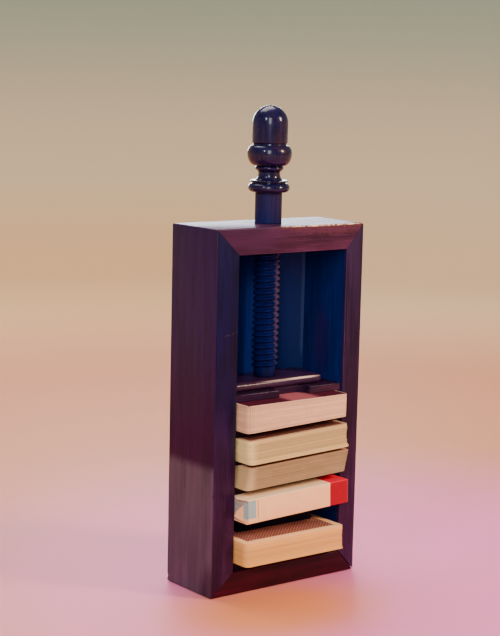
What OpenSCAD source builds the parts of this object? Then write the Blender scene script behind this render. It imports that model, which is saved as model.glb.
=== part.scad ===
// Playing card press: a mitred mahogany case with an open front, a turned wooden
// screw that drives a plate down, and five packs stacked between thin boards.
// Origin at the middle of the case's underside, X to the right, Y to the back, Z up.

/* [Cards] */
// Long side of a card, lying across the case
card_length = 88; // [80:0.1:95]
// Short side of a card, running from front to back
card_width = 57.1; // [54:0.1:64]
// Corner radius of a card
card_corner = 3.3; // [2:0.1:5]
// Thickness of one card
card_t = 0.32; // [0.25:0.01:0.4]
// Mean height of the first pack, counted from the top
pack_1_t = 17.4; // [12:0.1:22]
// Height of the second pack
pack_2_t = 16.4; // [12:0.1:22]
// Height of the third pack
pack_3_t = 14.9; // [12:0.1:22]
// Height of the lowest pack
pack_5_t = 16.9; // [12:0.1:22]
// How far the second pack sits from the left wall
pack_2_shift = 2.9; // [0.2:0.1:3]
// How far the third pack sits from the left wall
pack_3_shift = 2.8; // [0.2:0.1:3]

/* [Carton] */
// Outer height of the tuck carton
carton_t = 16.9; // [14:0.1:22]
// Thickness of the carton's card
carton_wall = 0.6; // [0.4:0.1:1]
// Play between the carton and the cards inside it
carton_play = 0.3; // [0.2:0.1:0.6]
// How far the cards lie inside the carton's open end
carton_mouth = 0.6; // [0.5:0.1:3]

/* [Case] */
// Room beside the packs, so that they slide in freely
side_room = 6; // [3:0.1:12]
// Depth from the front of the case to its back panel
bay_depth = 45.5; // [40:0.5:54]
// Thickness of the left board
left_t = 19; // [15:0.5:24]
// Thickness of the right board
right_t = 15; // [13:0.5:24]
// Thickness of the top board, which takes the screw
top_t = 18; // [15:0.5:26]
// Thickness of the bottom board
bottom_t = 16; // [14:0.5:24]
// Thickness of the back panel
back_t = 6.5; // [5:0.5:10]
// Width of the rebate that holds the back panel
rebate_w = 5; // [4:0.5:7]

/* [Mitre splines] */
// Thickness of a spline
spline_t = 3; // [2:0.5:5]
// Width of a spline across the joint
spline_w = 10; // [6:0.5:12]
// How far a spline stops behind the front edge
spline_stop = 7; // [4:0.5:12]

/* [Back brads] */
// Diameter of a brad's shank
brad_d = 1.4; // [1:0.1:2]
// Diameter of a brad's head
brad_head_d = 2.8; // [2.2:0.1:3.6]
// Thickness of a brad's head
brad_head_t = 0.6; // [0.4:0.1:1]
// Length of a brad
brad_length = 15; // [12:0.5:20]
// Number of brads along each side of the panel
brads_per_side = 4; // [2:1:6]

/* [Boards] */
// Thickness of the notched board under the plate
notched_board_t = 4.9; // [4:0.1:8]
// Thickness of the two thicker dividers
divider_t = 5.4; // [4:0.1:8]
// Thickness of the thin divider
thin_divider_t = 2.4; // [2:0.1:4]
// Thickness of the board on the floor of the case
base_board_t = 5.5; // [4:0.1:8]
// How far the boards stop behind the front of the case
board_setback = 2; // [0:0.5:8]
// Play at each end of a board
board_play = 0.75; // [0.5:0.05:2]
// Width of the finger notch
notch_w = 27; // [18:0.5:36]
// Depth of the finger notch
notch_depth = 9; // [6:0.5:14]
// Centre of the finger notch, to the right of the middle of the bay
notch_offset = 5; // [0:0.5:10]

/* [Spacer] */
// Mean height of the spacer block
spacer_h = 15.4; // [10:0.1:24]
// Length of the spacer block
spacer_length = 66; // [50:0.5:75]
// How far the spacer block stops behind the front of the case
spacer_setback = 14; // [8:0.5:20]
// Slope of the spacer's top, which tips everything above it up to the right
lean = 1.9; // [0:0.1:3]

/* [Press plate] */
// Play between the press plate and the nearest wall
plate_play = 3; // [1:0.5:6]
// Thickness of the press plate
plate_t = 6; // [5.5:0.1:10]
// Free height above the plate, which is its travel
press_travel = 89.4; // [40:0.5:120]

/* [Screw] */
// Outside diameter of the thread and of the shank
screw_d = 18.6; // [14:0.5:22]
// Threads to the inch
threads_per_inch = 6; // [5:0.5:8]
// Depth of the thread
thread_depth = 1.7; // [1:0.1:2]
// Length of the plain foot below the thread
foot_h = 4; // [2:0.5:8]
// Diameter of the neck that turns in the press plate
neck_d = 9; // [7:0.5:10]
// Height of the plain shank that shows above the case
shank_h = 21.4; // [15:0.1:40]
// How far the screw stands to the left of the middle of the case
screw_offset = 1.5; // [0:0.1:4]
// Diameter of the tenon that carries the finial
tenon_d = 10; // [8:0.5:11]
// Length of the tenon that carries the finial
tenon_length = 24; // [15:0.5:28]

/* [Foot fastening] */
// Diameter of the washer under the neck
washer_d = 14; // [12:0.5:16]
// Thickness of the washer
washer_t = 1; // [0.8:0.1:1.4]
// Diameter of the wood screw's head
woodscrew_head_d = 7.5; // [6:0.1:8]
// Height of the wood screw's head
woodscrew_head_t = 1.5; // [1.2:0.1:1.6]
// Diameter of the wood screw's shank
woodscrew_d = 3.5; // [3:0.1:4]
// Length of the wood screw's shank
woodscrew_length = 18; // [14:0.5:24]

/* [Finial] */
// Radius of the round collar at the finial's foot
collar_r = 14.4; // [12:0.1:16]
// Height of the round collar
collar_h = 6.2; // [5:0.1:8]
// Radius of the disc above the collar
disc_r = 13; // [11:0.1:14]
// Radius of the narrow neck
finial_neck_r = 7.6; // [6.5:0.1:9]
// Radius of the bead under the cup
bead_r = 9.8; // [8.5:0.1:10]
// Radius of the acorn's cup
cup_r = 15.4; // [13:0.1:17]
// Radius of the groove between cup and nut
groove_r = 11.5; // [10:0.1:12]
// Radius of the acorn's nut
nut_r = 12.3; // [12:0.1:13.5]
// Height of the acorn's nut
nut_h = 26; // [20:0.1:32]

/* [Fits] */
// Radial clearance round the screw in the top board
screw_clearance = 0.3; // [0.3:0.05:0.6]
// Radial running clearance of the neck in the press plate
neck_clearance = 0.08; // [0.02:0.01:0.1]
// Gap between neighbours in the stack
stack_gap = 0.1; // [0.05:0.05:0.3]
// Gap left behind the packs
back_gap = 0.2; // [0.1:0.1:1]
// Gap left at the left end of the packs
left_gap = 1.2; // [0.2:0.1:2]
// Gap left at the left end of the carton
carton_gap = 0.3; // [0.2:0.1:1]
// Clearance round glued and driven pieces
seat_gap = 0.05; // [0.02:0.01:0.1]

/* [Hidden] */

$fn = 64;
eps = 0.01;
far = 400;

// Colours of the finished pieces
mahogany = [0.24, 0.08, 0.06];
dark_mahogany = [0.15, 0.05, 0.04];
ebonised = [0.10, 0.04, 0.035];
card_cream = [0.86, 0.79, 0.66];
card_tan = [0.76, 0.65, 0.50];
card_back_red = [0.62, 0.16, 0.15];
carton_white = [0.88, 0.84, 0.76];
brass = [0.72, 0.56, 0.28];
steel = [0.45, 0.44, 0.42];

// Heights in the stack, measured at the middle of the bay
z_floor = bottom_t;
z_pack_5 = z_floor + base_board_t + stack_gap;
z_spacer = z_pack_5 + pack_5_t + stack_gap;
z_lean = z_spacer + spacer_h + stack_gap;
// Heights above z_lean, measured square to the sloping pieces
h_divider_3 = carton_t + stack_gap;
h_pack_3 = h_divider_3 + divider_t + stack_gap;
h_divider_2 = h_pack_3 + pack_3_t + stack_gap;
h_pack_2 = h_divider_2 + thin_divider_t + stack_gap;
h_divider_1 = h_pack_2 + pack_2_t + stack_gap;
h_pack_1 = h_divider_1 + divider_t + stack_gap;
// Level again from the top of the first pack
z_pack_1 = z_lean + h_pack_1 / cos(lean);
z_notched = z_pack_1 + pack_1_t + stack_gap;
z_plate = z_notched + notched_board_t + stack_gap;
z_plate_top = z_plate + plate_t;
z_ceiling = z_plate_top + press_travel;

// Case
bay_w = card_length + side_room;
case_w = left_t + bay_w + right_t;
case_d = bay_depth + back_t;
case_h = z_ceiling + top_t;
x_out = case_w / 2;
x_left = left_t - x_out;
x_right = x_out - right_t;
x_mid = (x_left + x_right) / 2;
y_front = -case_d / 2;
y_back = case_d / 2;
y_panel = y_back - back_t;

// Cards: the packs stand against the back panel and out past the front
y_cards_back = y_panel - back_gap;
y_cards_mid = y_cards_back - card_width / 2;
x_cards = x_left + card_length / 2;

// Carton
carton_length = card_length + carton_mouth + carton_wall + carton_play;
carton_depth = card_width + 2 * (carton_wall + carton_play);
carton_inner_t = carton_t - 2 * carton_wall;
x_carton = x_left + carton_gap + carton_t * sin(lean);

// Boards
board_length = bay_w - 2 * board_play;
y_board_front = y_front + board_setback;
board_depth = y_cards_back - y_board_front;
notch_corner = min(4, notch_depth / 2);
x_notch = x_mid + notch_offset;

// Screw, from the press plate upward
pitch = 25.4 / threads_per_inch;
screw_r = screw_d / 2;
root_r = screw_r - thread_depth;
bore_r = screw_r + screw_clearance;
x_screw = -screw_offset;
y_screw = 0;
axial_gap = 0.1;
// Room left round the washer and under the wood screw's head
washer_gap = 0.5;
washer_room = washer_t + woodscrew_head_t + washer_gap;
// The plate is centred on the screw and clears the left wall and the back panel
plate_length = 2 * (x_screw - x_left - plate_play);
plate_depth = 2 * (y_panel - y_screw - plate_play);
z_shoulder = z_plate_top + axial_gap;
z_neck_end = z_plate + washer_room - axial_gap;
z_thread = z_shoulder + foot_h;
thread_turns = floor((case_h - z_thread) / pitch);
z_shank = z_thread + thread_turns * pitch;
z_finial = case_h + shank_h;
thread_crest = pitch * 0.22;
woodscrew_tip = 3;
woodscrew_tip_r = 0.3;
woodscrew_slot = 1;

// Brads
brad_side_pitch = (case_h - top_t - bottom_t) / brads_per_side;
brad_holes = concat(
    [for (i = [0 : brads_per_side - 1]) [x_left - rebate_w / 2, bottom_t + (i + 0.5) * brad_side_pitch]],
    [for (i = [0 : brads_per_side - 1]) [x_right + rebate_w / 2, bottom_t + (i + 0.5) * brad_side_pitch]],
    [for (s = [-1, 1]) [x_mid + s * bay_w / 4, bottom_t - rebate_w / 2]],
    [for (s = [-1, 1]) [x_mid + s * bay_w / 4, z_ceiling + rebate_w / 2]]
);

// Points of an arc in the plane, from angle a0 to a1 in n steps
function arc(c, r, a0, a1, n) = [
    for (i = [0 : n]) c + r * [cos(a0 + (a1 - a0) * i / n), sin(a0 + (a1 - a0) * i / n)]
];

// Extrudes an outline drawn in X and Z from the front of the case to the back
module through_case() {
    translate([0, y_back, 0])
        rotate([90, 0, 0])
            linear_extrude(case_d)
                children();
}

// Room for the back panel, let into the back of the four boards
module back_rebate(grow = 0) {
    x0 = x_left - rebate_w - grow;
    z0 = bottom_t - rebate_w - grow;
    panel_w = bay_w + 2 * (rebate_w + grow);
    panel_h = z_ceiling - bottom_t + 2 * (rebate_w + grow);
    translate([x0, y_panel - grow, z0])
        cube([panel_w, back_t + 2 * grow, panel_h]);
}

// One spline lying across the mitre from an inner corner to an outer one
module spline(inner, outer, grow = 0) {
    middle = (inner + outer) / 2;
    slope = atan2(outer[1] - inner[1], outer[0] - inner[0]);
    length = y_panel - spline_stop - y_front - spline_stop;
    translate([middle[0], y_front + spline_stop + length / 2, middle[1]])
        rotate([0, -slope, 0])
            cube([spline_t + 2 * grow, length + 2 * grow, spline_w + 2 * grow], center = true);
}

module all_splines(grow = 0) {
    spline([x_left, z_ceiling], [-x_out, case_h], grow);
    spline([x_right, z_ceiling], [x_out, case_h], grow);
    spline([x_left, bottom_t], [-x_out, 0], grow);
    spline([x_right, bottom_t], [x_out, 0], grow);
}

// Holes that the brads are driven into
module brad_pilots() {
    for (h = brad_holes)
        translate([h[0], y_back + eps, h[1]])
            rotate([90, 0, 0])
                cylinder(h = brad_length + seat_gap, r = brad_d / 2 + seat_gap);
}

// A mitred board: its outline, less the rebate, the spline slots and the pilots
module case_board(outline) {
    difference() {
        through_case() polygon(outline);
        back_rebate(seat_gap);
        all_splines(seat_gap);
        brad_pilots();
    }
}

module left_board() {
    color(dark_mahogany)
        case_board([[-x_out, 0], [x_left, bottom_t], [x_left, z_ceiling], [-x_out, case_h]]);
}

module right_board() {
    color(dark_mahogany)
        case_board([[x_out, 0], [x_out, case_h], [x_right, z_ceiling], [x_right, bottom_t]]);
}

module top_board() {
    color(mahogany)
        difference() {
            case_board([[-x_out, case_h], [x_left, z_ceiling], [x_right, z_ceiling], [x_out, case_h]]);
            translate([x_screw, y_screw, z_ceiling - eps])
                cylinder(h = top_t + 2 * eps, r = bore_r);
        }
}

module bottom_board() {
    color(mahogany)
        case_board([[-x_out, 0], [x_out, 0], [x_right, bottom_t], [x_left, bottom_t]]);
}

module back_panel() {
    color(dark_mahogany)
        difference() {
            back_rebate(0);
            brad_pilots();
            for (h = brad_holes)
                translate([h[0], y_back + eps, h[1]])
                    rotate([90, 0, 0])
                        cylinder(h = brad_head_t + seat_gap + eps, r = brad_head_d / 2 + seat_gap);
        }
}

module mitre_splines() {
    color(mahogany) all_splines(0);
}

module back_brads() {
    color(steel)
        for (h = brad_holes)
            translate([h[0], y_back, h[1]])
                rotate([90, 0, 0]) {
                    cylinder(h = brad_head_t, r = brad_head_d / 2);
                    cylinder(h = brad_length, r = brad_d / 2);
                }
}

// Half outline of the screw, radius first and height second
function thread_outline() = [
    for (i = [0 : thread_turns - 1])
        for (p = [
            [root_r, 0],
            [screw_r, (pitch - thread_crest) / 2],
            [screw_r, (pitch + thread_crest) / 2]
        ])
            [p[0], z_thread + i * pitch + p[1]]
];

module press_screw() {
    outline = concat(
        [[0, z_neck_end], [neck_d / 2, z_neck_end], [neck_d / 2, z_shoulder], [root_r, z_shoulder]],
        thread_outline(),
        [[root_r, z_shank], [screw_r, z_shank + thread_depth], [screw_r, z_finial]],
        [[tenon_d / 2, z_finial], [tenon_d / 2, z_finial + tenon_length], [0, z_finial + tenon_length]]
    );
    color(mahogany)
        translate([x_screw, y_screw, 0])
            difference() {
                rotate_extrude() polygon(outline);
                translate([0, 0, z_neck_end - eps])
                    cylinder(h = woodscrew_length + seat_gap, r = woodscrew_d / 2 + seat_gap);
            }
}

// The finial's outline, from the foot of the collar to the tip of the nut
module acorn_finial() {
    // Roundings of the disc, the bead and the foot of the nut
    disc_round = 0.7;
    bead_round = 1.5;
    nut_round = 0.9;
    // Quirks, the small steps between one turned shape and the next
    quirk = 0.6;
    cup_low = 8.6;
    cup_high = 5.6;
    disc_to_neck = 5.3;
    neck_to_bead = 4.4;
    collar_bulge = collar_h / 2;
    scotia_r = disc_r - quirk - finial_neck_r;
    z_disc = collar_h + quirk;
    z_neck = z_disc + disc_to_neck;
    z_bead = z_neck + neck_to_bead;
    z_cup = z_bead + bead_round;
    z_groove = z_cup + cup_low + cup_high;
    z_nut = z_groove + 2 * quirk;
    nut_wall = nut_h - nut_r;
    outline = concat(
        [[0, 0]],
        arc([collar_r - collar_bulge, collar_bulge], collar_bulge, -80, 80, 12),
        [[disc_r - 2 * disc_round, z_disc - quirk / 2]],
        arc([disc_r - disc_round, z_disc + disc_round], disc_round, -90, 90, 6),
        arc([finial_neck_r + scotia_r, z_neck], scotia_r, 235, 180, 7),
        [[finial_neck_r, z_neck + bead_round]],
        arc([bead_r - bead_round, z_bead], bead_round, -70, 80, 7),
        [for (a = [0 : 9 : 90]) [bead_r + (cup_r - bead_r) * sin(a), z_cup + cup_low * (1 - cos(a))]],
        [for (a = [18 : 18 : 90]) [groove_r + (cup_r - groove_r) * cos(a), z_cup + cup_low + cup_high * sin(a)]],
        [[groove_r, z_nut - quirk / 2]],
        arc([nut_r - nut_round, z_nut + nut_round], nut_round, -60, 0, 4),
        [for (a = [0 : 7.5 : 90]) [nut_r * cos(a), z_nut + nut_wall + (nut_h - nut_wall) * sin(a)]]
    );
    color(ebonised)
        translate([x_screw, y_screw, z_finial])
            difference() {
                rotate_extrude() polygon(outline);
                translate([0, 0, -eps])
                    cylinder(h = tenon_length + 2 * seat_gap, r = tenon_d / 2 + seat_gap);
            }
}

module foot_washer() {
    color(brass)
        translate([x_screw, y_screw, z_neck_end - washer_t])
            difference() {
                cylinder(h = washer_t, r = washer_d / 2);
                translate([0, 0, -eps])
                    cylinder(h = washer_t + 2 * eps, r = woodscrew_d / 2 + seat_gap);
            }
}

module foot_woodscrew() {
    z_head = z_neck_end - washer_t - woodscrew_head_t;
    color(steel)
        translate([x_screw, y_screw, z_head])
            difference() {
                union() {
                    cylinder(h = woodscrew_head_t, r = woodscrew_head_d / 2);
                    cylinder(h = woodscrew_head_t + woodscrew_length - woodscrew_tip, r = woodscrew_d / 2);
                    translate([0, 0, woodscrew_head_t + woodscrew_length - woodscrew_tip])
                        cylinder(h = woodscrew_tip, r1 = woodscrew_d / 2, r2 = woodscrew_tip_r);
                }
                translate([-woodscrew_head_d / 2 - eps, -woodscrew_slot / 2, -eps])
                    cube([woodscrew_head_d + 2 * eps, woodscrew_slot, woodscrew_head_t / 2]);
            }
}

// The plate the screw pushes, with a rounded front edge
module press_plate() {
    nose = plate_t / 2;
    color(mahogany)
        difference() {
            translate([x_screw - plate_length / 2, y_screw, z_plate])
                rotate([90, 0, 90])
                    linear_extrude(plate_length)
                        union() {
                            translate([nose - plate_depth / 2, nose])
                                circle(r = nose);
                            translate([nose - plate_depth / 2, 0])
                                square([plate_depth - nose, plate_t]);
                        }
            translate([x_screw, y_screw, z_plate - eps]) {
                cylinder(h = plate_t + 2 * eps, r = neck_d / 2 + neck_clearance);
                cylinder(h = washer_room + eps, r = washer_d / 2 + washer_gap);
            }
        }
}

// A card's outline, centred
module card_outline() {
    square([card_length - 2 * card_corner, card_width], center = true);
    square([card_length, card_width - 2 * card_corner], center = true);
    for (sx = [-1, 1])
        for (sy = [-1, 1])
            translate([sx * (card_length / 2 - card_corner), sy * (card_width / 2 - card_corner)])
                circle(r = card_corner);
}

// A squared-up pack or a single card, t high
module cards(t) {
    linear_extrude(t) card_outline();
}

// Slopes children about the middle of the bay, h square above the foot of the slope
module leaning(h) {
    translate([x_mid, 0, z_lean + h / cos(lean)])
        rotate([0, -lean, 0])
            translate([-x_mid, 0, 0])
                children();
}

// A plain board of the stack, t thick
module board(t) {
    translate([x_mid - board_length / 2, y_board_front, 0])
        cube([board_length, board_depth, t]);
}

module notched_board() {
    straight = notch_w - 2 * notch_corner;
    color(dark_mahogany)
        translate([0, 0, z_notched])
            difference() {
                board(notched_board_t);
                translate([x_notch, y_board_front, -eps])
                    linear_extrude(notched_board_t + 2 * eps)
                        union() {
                            translate([-notch_w / 2, -1])
                                square([notch_w, notch_depth - notch_corner + 1]);
                            translate([-straight / 2, 0])
                                square([straight, notch_depth]);
                            for (s = [-1, 1])
                                translate([s * straight / 2, notch_depth - notch_corner])
                                    circle(r = notch_corner);
                        }
            }
}

// The first pack: its foot slopes with the stack below, its top is level
module pack_1() {
    color(card_cream)
        difference() {
            translate([x_cards + left_gap, y_cards_mid, z_pack_1 - pack_1_t / 2])
                cards(pack_1_t * 1.5 - card_t);
            leaning(h_pack_1 - far)
                translate([-far, -far, 0])
                    cube([2 * far, 2 * far, far]);
        }
}

module pack_1_top_card() {
    color(card_back_red)
        translate([x_cards + left_gap, y_cards_mid, z_pack_1 + pack_1_t - card_t])
            cards(card_t);
}

module divider_1() {
    color(dark_mahogany) leaning(h_divider_1) board(divider_t);
}

module pack_2() {
    color(card_cream)
        leaning(h_pack_2)
            translate([x_cards + pack_2_shift, y_cards_mid, 0])
                cards(pack_2_t);
}

module divider_2() {
    color(dark_mahogany) leaning(h_divider_2) board(thin_divider_t);
}

module pack_3() {
    color(card_tan)
        leaning(h_pack_3)
            translate([x_cards + pack_3_shift, y_cards_mid, 0])
                cards(pack_3_t);
}

module divider_3() {
    color(dark_mahogany) leaning(h_divider_3) board(divider_t);
}

// The tuck carton: a card tube, closed at the right and open at the left
module carton() {
    color(carton_white)
        leaning(0)
            translate([x_carton, y_cards_back - carton_depth, 0])
                difference() {
                    cube([carton_length, carton_depth, carton_t]);
                    translate([-eps, carton_wall, carton_wall])
                        cube([
                            carton_length - carton_wall + eps,
                            carton_depth - 2 * carton_wall,
                            carton_inner_t
                        ]);
                }
}

module carton_cards() {
    inner_x = x_carton + carton_mouth;
    color(card_cream)
        leaning(carton_wall + seat_gap)
            translate([inner_x + card_length / 2, y_cards_back - carton_depth / 2, 0])
                cards(carton_inner_t - carton_play);
}

// The block that carries the carton: its top slopes up to the right
module spacer_block() {
    y_spacer = y_front + spacer_setback;
    color(dark_mahogany)
        difference() {
            translate([x_mid - spacer_length / 2, y_spacer, z_spacer])
                cube([spacer_length, y_cards_back - y_spacer, spacer_h * 1.5]);
            leaning(-stack_gap)
                translate([-far, -far, 0])
                    cube([2 * far, 2 * far, far]);
        }
}

module pack_5() {
    color(card_cream)
        translate([x_cards + left_gap, y_cards_mid, z_pack_5])
            cards(pack_5_t - card_t);
}

module pack_5_top_card() {
    color(card_back_red)
        translate([x_cards + left_gap, y_cards_mid, z_pack_5 + pack_5_t - card_t])
            cards(card_t);
}

module base_board() {
    color(dark_mahogany)
        translate([0, 0, z_floor])
            board(base_board_t);
}

left_board();
right_board();
top_board();
bottom_board();
back_panel();
mitre_splines();
back_brads();
press_screw();
acorn_finial();
foot_washer();
foot_woodscrew();
press_plate();
notched_board();
pack_1();
pack_1_top_card();
divider_1();
pack_2();
divider_2();
pack_3();
divider_3();
carton();
carton_cards();
spacer_block();
pack_5();
pack_5_top_card();
base_board();
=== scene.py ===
"""Looks of an antique playing-card press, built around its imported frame."""

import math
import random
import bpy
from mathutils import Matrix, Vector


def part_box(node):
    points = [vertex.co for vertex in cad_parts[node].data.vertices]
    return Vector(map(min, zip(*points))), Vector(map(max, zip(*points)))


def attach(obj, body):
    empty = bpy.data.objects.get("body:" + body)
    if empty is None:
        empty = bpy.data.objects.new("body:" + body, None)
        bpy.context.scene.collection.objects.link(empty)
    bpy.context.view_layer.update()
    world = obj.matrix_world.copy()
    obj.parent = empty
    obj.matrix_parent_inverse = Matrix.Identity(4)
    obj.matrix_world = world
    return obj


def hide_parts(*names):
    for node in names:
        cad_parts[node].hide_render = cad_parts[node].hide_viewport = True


bl_info = {
    "name": "Card press",
    "version": (1, 0, 0),
    "blender": (4, 5, 0),
    "location": "View3D > Sidebar > Card Press",
    "description": "Builds the finished pieces of a wooden playing-card press around its frame",
    "category": "Object",
}

import bmesh
import bpy
from bpy.props import FloatProperty, FloatVectorProperty, IntProperty, PointerProperty
from bpy.types import Operator, Panel, PropertyGroup
from mathutils import Matrix, Vector, noise

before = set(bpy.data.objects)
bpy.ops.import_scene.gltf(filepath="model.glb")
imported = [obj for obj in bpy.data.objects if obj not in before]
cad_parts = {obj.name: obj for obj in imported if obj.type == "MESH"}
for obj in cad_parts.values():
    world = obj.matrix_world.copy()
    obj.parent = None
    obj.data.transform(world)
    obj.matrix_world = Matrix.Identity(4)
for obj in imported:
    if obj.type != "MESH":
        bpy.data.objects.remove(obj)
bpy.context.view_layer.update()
MM = 0.001

# Planes of the case, from the frame
CASE_LO = Vector((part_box("left_board")[0].x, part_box("left_board")[0].y, 0))
CASE_HI = Vector((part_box("right_board")[1].x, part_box("right_board")[1].y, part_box("top_board")[1].z))
BAY_LO = Vector((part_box("left_board")[1].x, CASE_LO.y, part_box("bottom_board")[1].z))
BAY_HI = Vector((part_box("right_board")[0].x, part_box("back_panel")[0].y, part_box("top_board")[0].z))

# Slope of the boards and packs in the middle of the stack
LEAN = math.radians(1.9)


# ---- settings

COLOUR = {"subtype": "COLOR", "size": 3, "min": 0, "max": 1}


class CardPressWood(PropertyGroup):
    """Colours of the woods and metals"""

    # The stiles are one wood: the left is painted far darker and bluer than the right, painted shade on
    # the left stile and painted light on the right
    stile: FloatVectorProperty(
        name="Left stile", description="Colour of the left upright board",
        default=(0.0034, 0.0008, 0.0400), **COLOUR,
    )
    stile_right: FloatVectorProperty(
        name="Right stile", description="Colour of the right upright board",
        default=(0.0280, 0.0095, 0.0430), **COLOUR,
    )
    stile_foot: FloatVectorProperty(
        name="Foot of the stiles", description="Redder colour of both upright boards near the foot",
        default=(0.0400, 0.0085, 0.0420), **COLOUR,
    )
    side: FloatVectorProperty(
        name="Sides", description="Colour of the outer sides",
        default=(0.0250, 0.0074, 0.0460), **COLOUR,
    )
    side_low: FloatVectorProperty(
        name="Lower sides", description="Colour of the outer sides half way down",
        default=(0.0260, 0.0002, 0.0260), **COLOUR,
    )
    rail: FloatVectorProperty(
        name="Top rail", description="Colour of the top board",
        default=(0.0860, 0.0210, 0.0680), **COLOUR,
    )
    sill: FloatVectorProperty(
        name="Bottom rail", description="Colour of the bottom board",
        default=(0.0400, 0.0004, 0.0062), **COLOUR,
    )
    # Painted shade: the navy-black that stands for the shade deep inside the bay
    bay_shade: FloatVectorProperty(
        name="Bay", description="Blue-black stain inside the case",
        default=(0.0003, 0.0062, 0.0640), **COLOUR,
    )
    # Painted reflection: the floor reflected low in the polish of the outer sides
    floor_reflection: FloatVectorProperty(
        name="Bloom", description="Greyed polish low on the outer sides",
        default=(0.1040, 0.0680, 0.0960), **COLOUR,
    )
    worn: FloatVectorProperty(
        name="Worn wood", description="Bare wood where the polish has gone",
        default=(0.34, 0.140, 0.085), **COLOUR,
    )
    ebonised: FloatVectorProperty(
        name="Finial", description="Colour of the polished finial",
        default=(0.0072, 0.0042, 0.0400), **COLOUR,
    )


class CardPressPaper(PropertyGroup):
    """Colours and sizes of the cards and the carton"""

    card_length: FloatProperty(
        name="Card length", description="Long side of a card",
        unit="LENGTH", min=0.07, max=0.1, default=0.088,
    )
    card_width: FloatProperty(
        name="Card width", description="Short side of a card",
        unit="LENGTH", min=0.04, max=0.07, default=0.0571,
    )
    card_corner: FloatProperty(
        name="Card corner", description="Radius of a card's corners",
        unit="LENGTH", min=0.001, max=0.005, default=0.0033,
    )
    cards_in_pack: IntProperty(
        name="Cards in a pack", description="Number of cards that each pack shows",
        min=20, max=60, default=53,
    )
    # Dark as painted shade: pack 1's back lies under the notched board
    red_back: FloatVectorProperty(
        name="Card backs", description="Red ink of the card backs",
        default=(0.070, 0.0028, 0.014), **COLOUR,
    )
    carton_red: FloatVectorProperty(
        name="Carton end", description="Red end of the carton",
        default=(0.36, 0.0, 0.014), **COLOUR,
    )


class CardPressWear(PropertyGroup):
    """Roundings, chips and gaps of an old case"""

    arris: FloatProperty(
        name="Edge rounding", description="Softening of the edges round the opening",
        unit="LENGTH", min=0, max=0.002, default=0.0006,
    )
    joint_line: FloatProperty(
        name="Joint line", description="Width of the fine groove along each mitre",
        unit="LENGTH", min=0, max=0.001, default=0.0002,
    )
    open_mitre: FloatProperty(
        name="Open mitre", description="Width of the gap at the lower right mitre",
        unit="LENGTH", min=0, max=0.002, default=0.0010,
    )
    chips: IntProperty(
        name="Chips", description="Number of chips along the top edge",
        min=0, max=60, default=26,
    )
    seed: IntProperty(
        name="Seed", description="Chooses another set of chips and card offsets",
        min=0, default=7,
    )


class CardPressStudio(PropertyGroup):
    """Floor, light and camera"""

    floor_near: FloatVectorProperty(
        name="Floor", description="Colour of the floor close to the press",
        default=(0.88, 0.20, 0.44), **COLOUR,
    )
    floor_far: FloatVectorProperty(
        name="Far floor", description="Colour of the sweep behind the press",
        default=(0.69, 0.275, 0.138), **COLOUR,
    )
    # Painted shadow: the floor in front of the press, in its shade, painted warm orange
    pool: FloatVectorProperty(
        name="Warm pool", description="Colour of the floor just in front of the press",
        default=(0.82, 0.265, 0.060), **COLOUR,
    )
    floor_edge: FloatVectorProperty(
        name="Floor's edge", description="Colour of the floor where the sweep starts",
        default=(1.0, 0.63, 0.33), **COLOUR,
    )
    horizon: FloatVectorProperty(
        name="Horizon", description="Colour where the sweep turns up",
        default=(0.86, 0.645, 0.375), **COLOUR,
    )
    wall: FloatVectorProperty(
        name="Wall", description="Colour of the sweep's wall",
        default=(0.37, 0.445, 0.32), **COLOUR,
    )
    lens: FloatProperty(
        name="Lens", description="Focal length of the camera in millimetres",
        min=20, max=200, default=92.64,
    )


def settings():
    return bpy.context.scene.card_press


class CardPressSettings(PropertyGroup):
    """All settings of the card press"""

    wood: PointerProperty(type=CardPressWood)
    paper: PointerProperty(type=CardPressPaper)
    wear: PointerProperty(type=CardPressWear)
    studio: PointerProperty(type=CardPressStudio)


# ---- modelling


def deselect():
    if bpy.context.mode != "OBJECT":
        bpy.ops.object.mode_set(mode="OBJECT")
    bpy.ops.object.select_all(action="DESELECT")


def pick(*objects):
    """Selects these objects alone; the first is the active one."""
    deselect()
    for obj in objects:
        obj.select_set(True)
    bpy.context.view_layer.objects.active = objects[0]


def edit(obj, kind="FACE"):
    pick(obj)
    bpy.ops.object.mode_set(mode="EDIT")
    bpy.ops.mesh.select_mode(type=kind)
    bpy.ops.mesh.select_all(action="DESELECT")


def leave():
    bpy.ops.object.mode_set(mode="OBJECT")


def select_everything():
    bpy.ops.mesh.select_all(action="SELECT")


def turn_faces(inside=False):
    """Turns every face outwards, or inwards, and leaves edit mode."""
    select_everything()
    bpy.ops.mesh.normals_make_consistent(inside=inside)
    leave()


def select_where(kind, test):
    """In edit mode, selects the faces, edges or vertices that pass the test, and counts them."""
    bpy.ops.mesh.select_mode(type=kind)
    bpy.ops.mesh.select_all(action="DESELECT")
    mesh = bpy.context.edit_object.data
    bm = bmesh.from_edit_mesh(mesh)
    parts = {"FACE": bm.faces, "EDGE": bm.edges, "VERT": bm.verts}[kind]
    parts.ensure_lookup_table()
    found = [p for p in parts if test(p)]
    for p in found:
        p.select_set(True)
    bm.select_flush_mode()
    bmesh.update_edit_mesh(mesh)
    return len(found)


def near(a, b, gap=0.00005):
    return abs(a - b) < gap


def new_object(name):
    obj = bpy.context.object
    obj.name = name
    obj.data.name = name
    return obj


def block(name, lo, hi):
    """A box between two corners, its place in its mesh."""
    lo, hi = Vector(lo), Vector(hi)
    deselect()
    bpy.ops.mesh.primitive_cube_add(size=1, location=(lo + hi) / 2, scale=hi - lo)
    obj = new_object(name)
    bpy.ops.object.transform_apply(location=True, rotation=True, scale=True)
    return obj


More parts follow.
